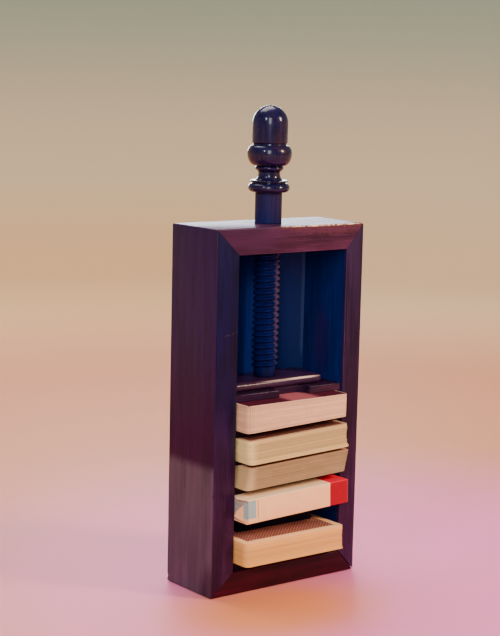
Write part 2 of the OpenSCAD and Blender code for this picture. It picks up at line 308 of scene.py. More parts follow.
def carved(name, node):
    """A merged copy of a CAD node's mesh, ready to be shaped further."""
    obj = bpy.data.objects.new(name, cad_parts[node].data.copy())
    obj.data.name = name
    obj.data.materials.clear()
    bpy.context.scene.collection.objects.link(obj)
    edit(obj, "VERT")
    select_everything()
    bpy.ops.mesh.customdata_custom_splitnormals_clear()
    bpy.ops.mesh.remove_doubles(threshold=0.000002)
    bpy.ops.mesh.dissolve_limited(angle_limit=math.radians(0.4))
    leave()
    return obj


def apply(obj, kind, **values):
    """Adds a modifier, sets it and applies it."""
    pick(obj)
    modifier = obj.modifiers.new(kind.title(), kind)
    for key, value in values.items():
        setattr(modifier, key, value)
    bpy.ops.object.modifier_apply(modifier=modifier.name)


def weigh(obj, weight):
    """Stores each edge's bevel weight; weight gives it from the two ends of the edge."""
    mesh = obj.data
    layer = mesh.attributes.get("bevel_weight_edge")
    layer = layer or mesh.attributes.new("bevel_weight_edge", "FLOAT", "EDGE")
    corners = [v.co for v in mesh.vertices]
    weights = [weight(*(corners[i] for i in edge.vertices)) for edge in mesh.edges]
    layer.data.foreach_set("value", weights)


def round_edges(obj, width, weight, segments=3):
    """Rounds edges: each has its weight times width as its rounding."""
    weigh(obj, weight)
    apply(
        obj, "BEVEL", limit_method="WEIGHT", width=width, segments=segments,
        use_clamp_overlap=False, miter_outer="MITER_ARC",
    )
    layer = obj.data.attributes.get("bevel_weight_edge")
    if layer:
        obj.data.attributes.remove(layer)


def combine(obj, other, operation):
    """Cuts, joins or crosses obj with other, and removes other."""
    apply(obj, "BOOLEAN", operation=operation, object=other, solver="EXACT")
    bpy.data.objects.remove(other)


def join(name, objects):
    pick(*objects)
    if len(objects) > 1:
        bpy.ops.object.join()
    return new_object(name)


def smooth(obj, angle=30):
    pick(obj)
    bpy.ops.object.shade_smooth_by_angle(angle=math.radians(angle))
    for modifier in list(obj.modifiers):
        bpy.ops.object.modifier_apply(modifier=modifier.name)


def outline(name, points, closed=False):
    """A chain of vertices through the points, drawn by extruding one vertex."""
    deselect()
    bpy.ops.mesh.primitive_plane_add(size=MM, location=points[0])
    obj = new_object(name)
    bpy.ops.object.transform_apply(location=True, rotation=True, scale=True)
    edit(obj, "VERT")
    select_everything()
    bpy.ops.mesh.merge(type="CENTER")
    for a, b in zip(points, points[1:]):
        step = Vector(b) - Vector(a)
        bpy.ops.mesh.extrude_vertices_move(TRANSFORM_OT_translate={"value": step})
    if closed:
        select_everything()
        bpy.ops.mesh.remove_doubles(threshold=0.000005)
    leave()
    return obj


def turned(name, profile, axis, steps=96):
    """A turned shape: profile is (radius, height) from the foot's centre to the top's centre."""
    points = [(axis.x + r, axis.y, z) for r, z in profile]
    obj = outline(name, points)
    edit(obj, "VERT")
    select_everything()
    bpy.ops.mesh.spin(steps=steps, angle=math.tau, center=(axis.x, axis.y, 0), axis=(0, 0, 1))
    select_everything()
    bpy.ops.mesh.remove_doubles(threshold=0.000005)
    turn_faces()
    return obj


def arc(centre, radius, start, end, steps):
    """Points of an arc, in degrees."""
    turns = [math.radians(start + (end - start) * i / steps) for i in range(steps + 1)]
    return [(centre[0] + radius * math.cos(a), centre[1] + radius * math.sin(a)) for a in turns]


def finish(obj, body, slot, material, *nodes):
    """Gives a piece its finish and body, and says which CAD nodes it stands for."""
    if obj.data.materials:
        obj.data.materials[0] = material
    else:
        obj.data.materials.append(material)
    deselect()
    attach(obj, body)
    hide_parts(*nodes)


def dress(node, material):
    """Gives a CAD node that stays a better finish."""
    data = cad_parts[node].data
    for i in range(max(1, len(data.materials))):
        if i < len(data.materials):
            data.materials[i] = material
        else:
            data.materials.append(material)


# ---- shading


def new_material(name, **constants):
    """An empty material with its shader; constants are set on the shader's own sockets."""
    material = bpy.data.materials.new(name)
    material.use_nodes = True
    tree = material.node_tree
    tree.nodes.clear()
    out = tree.nodes.new("ShaderNodeOutputMaterial")
    shader = tree.nodes.new("ShaderNodeBsdfPrincipled")
    tree.links.new(shader.outputs["BSDF"], out.inputs["Surface"])
    for key, value in constants.items():
        shader.inputs[key.replace("_", " ")].default_value = value
    return material, tree, shader


def feed(tree, socket, value):
    """Links a socket to a socket, or sets its value."""
    if isinstance(value, bpy.types.NodeSocket):
        tree.links.new(value, socket)
    elif hasattr(value, "__len__") and len(value) == 3 and len(socket.default_value) == 4:
        socket.default_value = (*value, 1)
    else:
        socket.default_value = value


def place(tree, at=(0, 0, 0), turn=(0, 0, 0), size=(1, 1, 1)):
    """Object coordinates measured from a point, along turned axes, in units of size."""
    coordinates = tree.nodes.new("ShaderNodeTexCoord")
    mapping = tree.nodes.new("ShaderNodeMapping")
    mapping.vector_type = "TEXTURE"
    mapping.inputs["Location"].default_value = at
    mapping.inputs["Rotation"].default_value = turn
    mapping.inputs["Scale"].default_value = size
    tree.links.new(coordinates.outputs["Object"], mapping.inputs["Vector"])
    return mapping.outputs["Vector"]


def grainy(tree, size, detail=4, roughness=0.55, at=(0, 0, 0), turn=(0, 0, 0), distortion=0):
    """Noise whose blobs have the given size along each axis, from 0 to 1."""
    node = tree.nodes.new("ShaderNodeTexNoise")
    feed(tree, node.inputs["Vector"], place(tree, at, turn, size))
    node.inputs["Scale"].default_value = 1
    node.inputs["Detail"].default_value = detail
    node.inputs["Roughness"].default_value = roughness
    node.inputs["Distortion"].default_value = distortion
    return node.outputs["Fac"]


def spread(tree, value, low, high, to_low=0.0, to_high=1.0, kind="SMOOTHSTEP"):
    """Maps low to high onto to_low to to_high, clamped."""
    node = tree.nodes.new("ShaderNodeMapRange")
    node.interpolation_type = kind
    for i, v in enumerate((value, low, high, to_low, to_high)):
        feed(tree, node.inputs[i], v)
    return node.outputs["Result"]


def calc(tree, operation, a, b=0.0, c=0.0):
    node = tree.nodes.new("ShaderNodeMath")
    node.operation = operation
    for i, v in enumerate((a, b, c)):
        feed(tree, node.inputs[i], v)
    return node.outputs[0]


def times(tree, value, *factors):
    """Multiplies a value by each factor in turn."""
    for factor in factors:
        value = calc(tree, "MULTIPLY", value, factor)
    return value


def blend(tree, factor, a, b, kind="MIX"):
    """Mixes two colours."""
    node = tree.nodes.new("ShaderNodeMix")
    node.data_type = "RGBA"
    node.blend_type = kind
    feed(tree, node.inputs[0], factor)
    feed(tree, node.inputs[6], a)
    feed(tree, node.inputs[7], b)
    return node.outputs[2]


def split(tree, vector):
    node = tree.nodes.new("ShaderNodeSeparateXYZ")
    feed(tree, node.inputs[0], vector)
    return node.outputs


def between(tree, value, low, high, soft):
    """1 between low and high, and 0 outside them, with soft ends."""
    rise = spread(tree, value, low - soft, low + soft)
    fall = spread(tree, value, high - soft, high + soft, 1.0, 0.0)
    return times(tree, rise, fall)


def spot(tree, at, half, turn=(0, 0, 0), hard=2.5):
    """A mark: 1 in the middle of an ellipsoid and 0 outside it."""
    node = tree.nodes.new("ShaderNodeTexGradient")
    node.gradient_type = "SPHERICAL"
    feed(tree, node.inputs[0], place(tree, at, turn, half))
    return spread(tree, node.outputs["Fac"], 0.0, 1.0 / hard)


def paint(tree, shader, colour, rough):
    feed(tree, shader.inputs["Base Color"], colour)
    feed(tree, shader.inputs["Roughness"], rough)


def relief(tree, shader, height, depth, strength=1.0):
    """Bump from height, depth metres deep."""
    node = tree.nodes.new("ShaderNodeBump")
    node.inputs["Strength"].default_value = strength
    node.inputs["Distance"].default_value = depth
    feed(tree, node.inputs["Height"], height)
    feed(tree, shader.inputs["Normal"], node.outputs["Normal"])


def scaled(colour, factor):
    return tuple(min(1.0, c * factor) for c in colour)


AXES = {"X": 0, "Y": 1, "Z": 2}


def along(grain, long, wide):
    """A size that is long along the grain and wide across it."""
    size = [wide, wide, wide]
    size[AXES[grain]] = long
    return tuple(size)


def varnished(name, colour, grain="Z", offset=0.0, polish=0.34, coat=0.10, gloss=0.13,
              bay_shade=False, side=0.0, foot=None, marks=(), dull=()):
    """Old polished mahogany: figure, fibres, pores, handling wear and an uneven coat of varnish,
    with painted shade inside the bay and a painted reflection low on the outer sides. foot is
    the colour an upright board turns to at its foot, and the heights between which it turns.
    marks are broken patches, as (at, half, colour, strength) and sometimes a turn, and the soft
    patches are soft ones, as (at, half, colour, strength); between them they hold wear as well
    as painted highlights, painted light and painted shade."""
    woods = settings().wood
    material, tree, shader = new_material(
        name, Coat_Weight=coat, Coat_Roughness=0.18, Coat_IOR=1.45, IOR=1.40,
        Specular_IOR_Level=gloss,
    )
    at = (offset, offset * 0.7, offset * 1.3)
    figure = grainy(tree, along(grain, 0.085, 0.0075), 3, 0.5, at, distortion=0.6)
    fibres = grainy(tree, along(grain, 0.030, 0.0011), 5, 0.62, at)
    pores = grainy(tree, along(grain, 0.0035, 0.00028), 2, 0.5, at)
    cloud = grainy(tree, (0.035, 0.035, 0.035), 3, 0.5, at)
    x, y, z = split(tree, place(tree))
    if foot:
        tint, low, high = foot
        colour = blend(tree, spread(tree, z, low, high), tint, colour)
    wood = calc(tree, "MULTIPLY_ADD", spread(tree, figure, 0.30, 0.68), 0.52, 0.48)
    wood = calc(tree, "MULTIPLY_ADD", spread(tree, fibres, 0.45, 0.75), 0.60, wood)
    wood = times(tree, wood, spread(tree, pores, 0.58, 0.72, 1.0, 0.45))
    wood = times(tree, wood, spread(tree, cloud, 0.35, 0.70, 1.0, 0.70))
    wood = blend(tree, 1.0, wood, colour, "MULTIPLY")
    rough = spread(tree, fibres, 0.3, 0.7, polish, polish + 0.16)
    if side:
        # Low on the outer sides, below a sharp line, the polish gets a painted reflection of the floor
        outer = spread(tree, times(tree, x, side), CASE_HI.x - 0.0012, CASE_HI.x - 0.0002)
        streaks = spread(tree, figure, 0.28, 0.70, 0.74, 1.15)
        tone = blend(tree, spread(tree, z, 0.09, 0.20), woods.side_low, woods.side)
        below = spread(tree, z, 0.0940, 0.0855, 0.0, 1.0)
        floor_reflection = times(tree, below, spread(tree, fibres, 0.25, 0.75, 0.75, 1.0))
        tone = blend(tree, times(tree, floor_reflection, 0.9), tone, woods.floor_reflection)
        tone = blend(tree, 1.0, streaks, tone, "MULTIPLY")
        wood = blend(tree, outer, wood, tone)
    if bay_shade:
        # Painted shade: faces inside the bay are painted navy-black, deepening in from the opening
        edge = 0.0004
        wide = between(tree, x, BAY_LO.x - edge, BAY_HI.x + edge, edge / 2)
        high = between(tree, z, BAY_LO.z - edge, BAY_HI.z + edge, edge / 2)
        deepness = spread(tree, calc(tree, "ADD", y, times(tree, fibres, 0.003)),
                          BAY_LO.y + 0.001, BAY_LO.y + 0.006)
        inside = times(tree, wide, high, deepness)
        painted_shade = blend(tree, spread(tree, fibres, 0.3, 0.7), woods.bay_shade, scaled(woods.bay_shade, 1.9))
        wood = blend(tree, inside, wood, painted_shade)
        rough = calc(tree, "ADD", rough, times(tree, inside, 0.22))
    for where, half, tint, strength, *turn in marks:
        mask = spot(tree, where, half, *turn)
        broken = spread(tree, grainy(tree, (0.0022, 0.0022, 0.0013), 4, 0.7, at), 0.36, 0.60)
        mask = times(tree, mask, broken, strength)
        wood = blend(tree, mask, wood, tint)
        rough = calc(tree, "ADD", rough, times(tree, mask, 0.2))
    for where, half, tint, strength in dull:
        mask = times(tree, spot(tree, where, half, hard=1.6), strength)
        streak = spread(tree, fibres, 0.30, 0.72, 0.45, 1.0)
        wood = blend(tree, times(tree, mask, streak), wood, tint)
    paint(tree, shader, wood, rough)
    sink = times(tree, spread(tree, pores, 0.55, 0.75), -0.35)
    waves = times(tree, cloud, 1.4)
    height = calc(tree, "ADD", calc(tree, "ADD", fibres, sink), waves)
    relief(tree, shader, height, 0.00016, 0.55)
    return material


def metal(name, colour, tarnish, roughness, scale):
    """A small metal part with a worn, spotted surface."""
    material, tree, shader = new_material(name, Metallic=1.0)
    spots = grainy(tree, (scale, scale, scale), 5, 0.65)
    fine = grainy(tree, (scale * 0.15, scale * 0.15, scale * 0.15), 2, 0.5)
    paint(
        tree, shader, blend(tree, spread(tree, spots, 0.42, 0.66), colour, tarnish),
        spread(tree, spots, 0.35, 0.7, roughness, roughness + 0.35),
    )
    relief(tree, shader, fine, 0.00005, 0.5)
    return material


def card_edges(name, colour, turn=0.0, smudge=0.1, corner_shade_bars=None, lit_left_end=0.0):
    """The edges of many thin cards, each with its own tone. smudge is how much handling has
    darkened them; the stretch along x that follows gets dark upright bars, painted shade where
    the rounded corners turn; and the last argument is how much lighter the cards are painted
    at the left end, as painted light."""
    material, tree, shader = new_material(name, IOR=1.4)
    tone = tree.nodes.new("ShaderNodeAttribute")
    tone.attribute_name = "tone"
    tilt = (0, turn, 0)
    layers = grainy(tree, (0.045, 0.045, 0.00075), 3, 0.7, turn=tilt)
    fine = grainy(tree, (0.010, 0.010, 0.00030), 2, 0.6, turn=tilt)
    upright = grainy(tree, (0.0016, 0.0016, 0.030), 3, 0.6, turn=tilt)
    grime = grainy(tree, (0.016, 0.016, 0.010), 4, 0.6)
    paper = blend(tree, tone.outputs["Fac"], scaled(colour, 0.62), scaled(colour, 1.25))
    paper = blend(tree, spread(tree, layers, 0.50, 0.72, 0.0, 0.55), paper, scaled(colour, 0.66))
    paper = blend(tree, spread(tree, fine, 0.52, 0.75, 0.0, 0.35), paper, scaled(colour, 0.70))
    paper = blend(tree, spread(tree, upright, 0.50, 0.72, 0.0, smudge), paper, scaled(colour, 0.62))
    paper = blend(tree, spread(tree, grime, 0.45, 0.75, 0.0, 0.22), paper, (0.52, 0.34, 0.22))
    if lit_left_end:
        x = split(tree, place(tree))[0]
        # Painted light: the cards are painted lighter towards the left end of the pack
        painted_left_light = spread(tree, x, BAY_LO.x + 0.002, BAY_LO.x + 0.012, lit_left_end, 0.0)
        paper = blend(tree, painted_left_light, paper, scaled(colour, 1.9))
    if corner_shade_bars:
        # Painted shade: dark upright bars across the rounded corner
        x = split(tree, place(tree))[0]
        bars = calc(tree, "PINGPONG", calc(tree, "SUBTRACT", x, corner_shade_bars[0]), 0.00065)
        bars = spread(tree, bars, 0.00034, 0.00058)
        bars = times(tree, bars, between(tree, x, *corner_shade_bars, 0.0002))
        paper = blend(tree, times(tree, bars, 0.55), paper, scaled(colour, 0.36))
    paint(tree, shader, paper, spread(tree, layers, 0.3, 0.7, 0.62, 0.82))
    relief(tree, shader, calc(tree, "ADD", layers, fine), 0.00012, 0.6)
    return material


def lattice(name, ink, paper, at, length, width, border, pitch=0.0024, white=0.86, rubbed=None):
    """A card back: a lattice of diamonds in one ink inside a plain border.
    white is how light its lines are; rubbed is a stretch along x where the ink is painted
    paler, as painted light where light falls through a finger notch."""
    material, tree, shader = new_material(name, IOR=1.45, Specular_IOR_Level=0.3)
    x, y, _ = split(tree, place(tree, at))
    inside = times(
        tree, between(tree, x, border - length / 2, length / 2 - border, 0.00012),
        between(tree, y, border - width / 2, width / 2 - border, 0.00012),
    )
    up = calc(tree, "PINGPONG", calc(tree, "ADD", x, y), pitch / 2)
    down = calc(tree, "PINGPONG", calc(tree, "SUBTRACT", x, y), pitch / 2)
    line = calc(tree, "MINIMUM", up, down)
    bars = spread(tree, line, pitch * 0.07, pitch * 0.15, 1.0, 0.0)
    dots = spread(tree, times(tree, up, down), pitch * pitch * 0.19, pitch * pitch * 0.23)
    lines = calc(tree, "MAXIMUM", bars, dots)
    worn = spread(tree, grainy(tree, (0.011, 0.011, 0.011), 5, 0.65), 0.45, 0.75, 0.0, 0.25)
    light = blend(tree, white, ink, paper)
    colour = blend(tree, lines, ink, light)
    colour = blend(tree, worn, colour, light)
    # Painted light: the ink is painted paler along this stretch
    if rubbed:
        painted_light = between(tree, x, *rubbed, 0.0035)
        colour = blend(tree, times(tree, painted_light, 0.8), colour, (0.48, 0.115, 0.130))
    colour = blend(tree, inside, paper, colour)
    paint(tree, shader, colour, spread(tree, worn, 0.0, 0.4, 0.45, 0.62))
    relief(tree, shader, grainy(tree, (0.0004, 0.0004, 0.0004), 2), 0.00002, 0.5)
    return material


# ---- the case


def chip_cutters(name, places, seed):
    """Ragged lumps that knock chips off an edge; places are (centre, half sizes)."""
    lumps = []
    for i, (centre, half) in enumerate(places):
        deselect()
        bpy.ops.mesh.primitive_ico_sphere_add(subdivisions=2, radius=1)
        lump = new_object(f"{name}_{i}")
        for v in lump.data.vertices:
            rough = 1 + 0.34 * noise.noise(v.co * 1.7 + Vector((seed, i * 3.1, 0)))
            size = Vector((v.co.x * half[0], v.co.y * half[1], v.co.z * half[2]))
            v.co = Vector(centre) + size * rough
        lumps.append(lump)
    return lumps


class CARDPRESS_OT_case_boards(Operator):
    """Four mitred boards with softened edges, chips and one open mitre"""

    bl_idname = "card_press.case_boards"
    bl_label = "Case boards"

    def outer_weight(self, a, b):
        """How far each outer edge of the case is rounded, as a share of the largest rounding."""
        low, high = CASE_LO, CASE_HI
        right, left = near(a.x, high.x) and near(b.x, high.x), near(a.x, low.x) and near(b.x, low.x)
        foot, head = near(a.z, low.z) and near(b.z, low.z), near(a.z, high.z) and near(b.z, high.z)
        if right and foot:
            return 1.0
        if left and foot:
            return 0.40
        if head and (left or right):
            return 0.34
        if foot:
            return 0.28
        return 0.26

    def envelope(self):
        """The outside of the whole case, with all its outer edges rounded."""
        inset = Vector((0.00003,) * 3)
        shell = block("envelope", CASE_LO, CASE_HI)
        round_edges(shell, 0.0034, self.outer_weight, 5)
        span = CASE_HI - CASE_LO
        middle = (CASE_HI + CASE_LO) / 2
        for v in shell.data.vertices:
            for k in range(3):
                v.co[k] = middle[k] + (v.co[k] - middle[k]) * (1 - 2 * inset[k] / span[k])
        return shell

    def edge_weight(self, a, b):
        """Inner edges of the opening are softened, and the joints get a fine groove."""
        wear = settings().wear
        front = near(a.y, CASE_LO.y) and near(b.y, CASE_LO.y)
        back = near(a.y, CASE_HI.y) and near(b.y, CASE_HI.y)
        if not (front or back):
            return 0.0

        def outside(p):
            return near(abs(p.x), CASE_HI.x) or near(p.z, CASE_LO.z) or near(p.z, CASE_HI.z)

        if outside(a) and outside(b):
            return 0.0
        if outside(a) or outside(b) or back:
            return wear.joint_line / wear.arris
        return 1.0

    def chips(self):
        wear = settings().wear
        draw = random.Random(wear.seed)
        top_edge = Vector((0, CASE_LO.y, CASE_HI.z))
        places = []
        first, stretch, worst_from = -0.020, 0.079, 0.012
        for i in range(wear.chips):
            x = first + stretch * (i + draw.uniform(-0.4, 0.4)) / wear.chips
            worn = 1.0 if x > worst_from else 0.6
            half = (
                draw.uniform(0.0012, 0.0042),
                draw.uniform(0.0005, 0.0013) * worn,
                draw.uniform(0.0006, 0.0021) * worn,
            )
            off = Vector((x, draw.uniform(-0.0004, 0.0002), draw.uniform(-0.0002, 0.0006)))
            places.append((top_edge + off, half))
        for x, z, half in (
            (CASE_LO.x, 0.0715, (0.0010, 0.0009, 0.0022)),
            (CASE_LO.x, 0.1520, (0.0006, 0.0006, 0.0014)),
            (CASE_HI.x, 0.1960, (0.0006, 0.0006, 0.0024)),
            (CASE_HI.x, 0.0480, (0.0007, 0.0006, 0.0018)),
        ):
            places.append((Vector((x, CASE_LO.y, z)), half))
        for x, y, z, half in (
            (CASE_LO.x, CASE_HI.y, 0.004, (0.0012, 0.0016, 0.0022)),
            (CASE_LO.x, CASE_HI.y - 0.009, 0.000, (0.0009, 0.0030, 0.0009)),
            (CASE_HI.x, CASE_HI.y, 0.246, (0.0009, 0.0010, 0.0026)),
            (-0.030, CASE_HI.y, CASE_HI.z, (0.0040, 0.0009, 0.0010)),
            (0.022, CASE_HI.y, CASE_HI.z, (0.0024, 0.0008, 0.0008)),
        ):
            places.append((Vector((x, y, z)), half))
        return places

    def open_mitre(self):
        """A thin wedge of air along the lower right mitre, as where old glue has let go."""
        inner = Vector((BAY_HI.x, 0, BAY_LO.z))
        outer = Vector((CASE_HI.x, 0, CASE_LO.z))
        run = outer - inner
        depth = 0.0066
        wide = settings().wear.open_mitre
        slit = block(
            "slit", (-run.length * 0.52, -depth, -wide / 2), (run.length * 0.60, depth, wide / 2)
        )
        edit(slit, "VERT")
        select_where("VERT", lambda v: v.co.x < 0)
        bpy.ops.transform.resize(value=(1, 1, 0.45))
        leave()
        turn = Matrix.Rotation(math.atan2(-run.z, run.x), 4, "Y")
        slit.data.transform(
            Matrix.Translation(Vector(((inner + outer) / 2)) + Vector((0, CASE_LO.y, 0))) @ turn
        )
        return slit

    def execute(self, context):
        wood = settings().wood
        wear = settings().wear
        worn = wood.worn
        left = varnished(
            "mahogany_left", wood.stile, "Z", 0.31, bay_shade=True,
            marks=[
                ((CASE_LO.x + 0.0135, CASE_LO.y, 0.1815), (0.0082, 0.0030, 0.00055),
                 (0.075, 0.040, 0.058), 0.6, (0, math.radians(-12), 0)),
                ((CASE_LO.x, 0.0060, 0.080), (0.0030, 0.00045, 0.0135), (0.006, 0.002, 0.003), 0.9),
                ((CASE_LO.x, CASE_HI.y, 0.004), (0.0036, 0.0036, 0.0080), scaled(worn, 0.4), 0.5),
            ],
            dull=[
                # Painted reflection: a blue-grey streak down the inner edge of the left stile
                ((BAY_LO.x, CASE_LO.y, 0.115), (0.0045, 0.0030, 0.030), (0.030, 0.030, 0.060), 0.7),
                ((CASE_LO.x, CASE_LO.y, 0.0), (0.010, 0.018, 0.030), (0.018, 0.0016, 0.012), 0.9),
            ],
            side=-1, foot=(wood.stile_foot, 0.050, 0.165),
        )
        right = varnished(
            "mahogany_right", wood.stile_right, "Z", 0.77, bay_shade=True, side=1,
            foot=(wood.stile_foot, 0.030, CASE_HI.z - 0.020),
            dull=[
                # Painted highlight: a light line down the inner front edge of the right stile
                ((BAY_HI.x, CASE_LO.y, 0.18), (0.0007, 0.0012, 0.090), (0.075, 0.030, 0.060), 0.8),
                # Painted light: a lighter band on the right wall inside the bay
                ((BAY_HI.x, 0.0, 0.165), (0.003, 0.013, 0.036), (0.022, 0.0045, 0.026), 0.6),
            ],
        )
        rail = varnished(
            "mahogany_top", wood.rail, "X", 0.53, bay_shade=True,
            marks=[
                ((0.026, CASE_LO.y, CASE_HI.z), (0.052, 0.0042, 0.0034), scaled(worn, 0.24), 0.9),
                (
                    (0.034, CASE_LO.y, CASE_HI.z - 0.001), (0.046, 0.003, 0.0075),
                    (0.110, 0.028, 0.036), 0.6,
                ),
                # Bright specks along the very edge: bare wood at the chips, painted far lighter as a
                # painted highlight
                ((0.030, CASE_LO.y, CASE_HI.z), (0.050, 0.0016, 0.0012), (1.0, 0.60, 0.42), 1.0),
                ((-0.030, CASE_HI.y, CASE_HI.z), (0.012, 0.0035, 0.0035), worn, 0.8),
            ],
            dull=[
                # Painted highlight: a light line along the lower front edge of the top rail
                ((0.002, CASE_LO.y, BAY_HI.z), (0.049, 0.0012, 0.0007), (0.130, 0.040, 0.080), 0.8),
                (
                    (-0.040, CASE_LO.y, CASE_HI.z - 0.008), (0.038, 0.003, 0.022),
                    (0.042, 0.012, 0.042), 0.9,
                ),
            ],
        )
        sill = varnished("mahogany_bottom", wood.sill, "X", 0.19, bay_shade=True)
        finishes = {
            "left_board": left, "right_board": right, "top_board": rail, "bottom_board": sill,
        }
        lumps = chip_cutters("chip", self.chips(), wear.seed)
        boards = {}
        for node in finishes:
            board = carved(node + "_finished", node)
            round_edges(board, wear.arris, self.edge_weight, 3)
            combine(board, self.envelope(), "INTERSECT")
            boards[node] = board
        for lump in lumps:
            lo = Vector([min(v.co[k] for v in lump.data.vertices) for k in range(3)])
            hi = Vector([max(v.co[k] for v in lump.data.vertices) for k in range(3)])
            for node, board in boards.items():
                a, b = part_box(node)
                if all(lo[k] < b[k] and hi[k] > a[k] for k in range(3)):
                    apply(board, "BOOLEAN", operation="DIFFERENCE", object=lump, solver="EXACT")
            bpy.data.objects.remove(lump)
        for node in ("right_board", "bottom_board"):
            combine(boards[node], self.open_mitre(), "DIFFERENCE")
        for node, board in boards.items():
            smooth(board, 32)
            finish(board, "case", "case_wood", finishes[node], node)
        return {"FINISHED"}


class CARDPRESS_OT_back_panel(Operator):
    """Back panel, with its edges eased, and the brads and splines that hold the case"""

    bl_idname = "card_press.back_panel"
    bl_label = "Back panel and brads"

    def execute(self, context):
        wood = settings().wood
        panel = carved("back_panel_finished", "back_panel")
        lo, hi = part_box("back_panel")

        def rim(a, b):
            on_back = near(a.y, hi.y) and near(b.y, hi.y)
            on_rim = (
                (near(a.x, b.x) and (near(a.x, lo.x) or near(a.x, hi.x)))
                or (near(a.z, b.z) and (near(a.z, lo.z) or near(a.z, hi.z)))
            )
            return 1.0 if on_back and on_rim else 0.0

        round_edges(panel, 0.0005, rim, 3)
        smooth(panel)
        material, tree, shader = new_material("panel_wood", IOR=1.45, Specular_IOR_Level=0.05)
        figure = grainy(tree, (0.010, 0.010, 0.12), 4, 0.55, distortion=0.8)
        fibres = grainy(tree, (0.0012, 0.0012, 0.03), 5, 0.6)
        x, y, z = split(tree, place(tree))
        outside = blend(
            tree, spread(tree, figure, 0.35, 0.65), (0.022, 0.0060, 0.0200),
            (0.052, 0.0160, 0.0240),
        )
        outside = blend(
            tree, spread(tree, fibres, 0.45, 0.75, 0, 0.6), outside, (0.010, 0.0030, 0.0130),
        )
        # Painted shade: the bay side of the panel is painted navy-black
        inside = blend(
            tree, spread(tree, fibres, 0.3, 0.7), scaled(wood.bay_shade, 1.2), scaled(wood.bay_shade, 2.0),
        )
        # Painted light: the bay side is painted lighter towards the right
        painted_light = spread(tree, x, 0.000, BAY_HI.x, 0.0, 0.75)
        inside = blend(tree, painted_light, inside, (0.020, 0.031, 0.122))
        # Painted highlight: a light blue line down the panel next to the right inner corner
        corner_light_line = times(
            tree, between(tree, x, BAY_HI.x - 0.0026, BAY_HI.x - 0.0002, 0.0012),
            between(tree, z, BAY_HI.z - 0.080, BAY_HI.z - 0.006, 0.006),
        )
        inside = blend(tree, times(tree, corner_light_line, 0.9), inside, (0.036, 0.062, 0.170))
        faces_bay = spread(tree, y, BAY_HI.y + 0.0005, BAY_HI.y + 0.0015, 1.0, 0.0)
        paint(
            tree, shader, blend(tree, faces_bay, outside, inside),
            spread(tree, fibres, 0.3, 0.7, 0.42, 0.6),
        )
        relief(tree, shader, fibres, 0.00015, 0.6)
        finish(panel, "case", "panel_wood", material, "back_panel")
        dress(
            "back_brads", metal("old_iron", (0.23, 0.20, 0.18), (0.09, 0.035, 0.018), 0.38, 0.0016),
        )
        dress("mitre_splines", varnished("spline_wood", scaled(wood.rail, 0.8), "Y", 0.4))
        return {"FINISHED"}


# ---- the screw


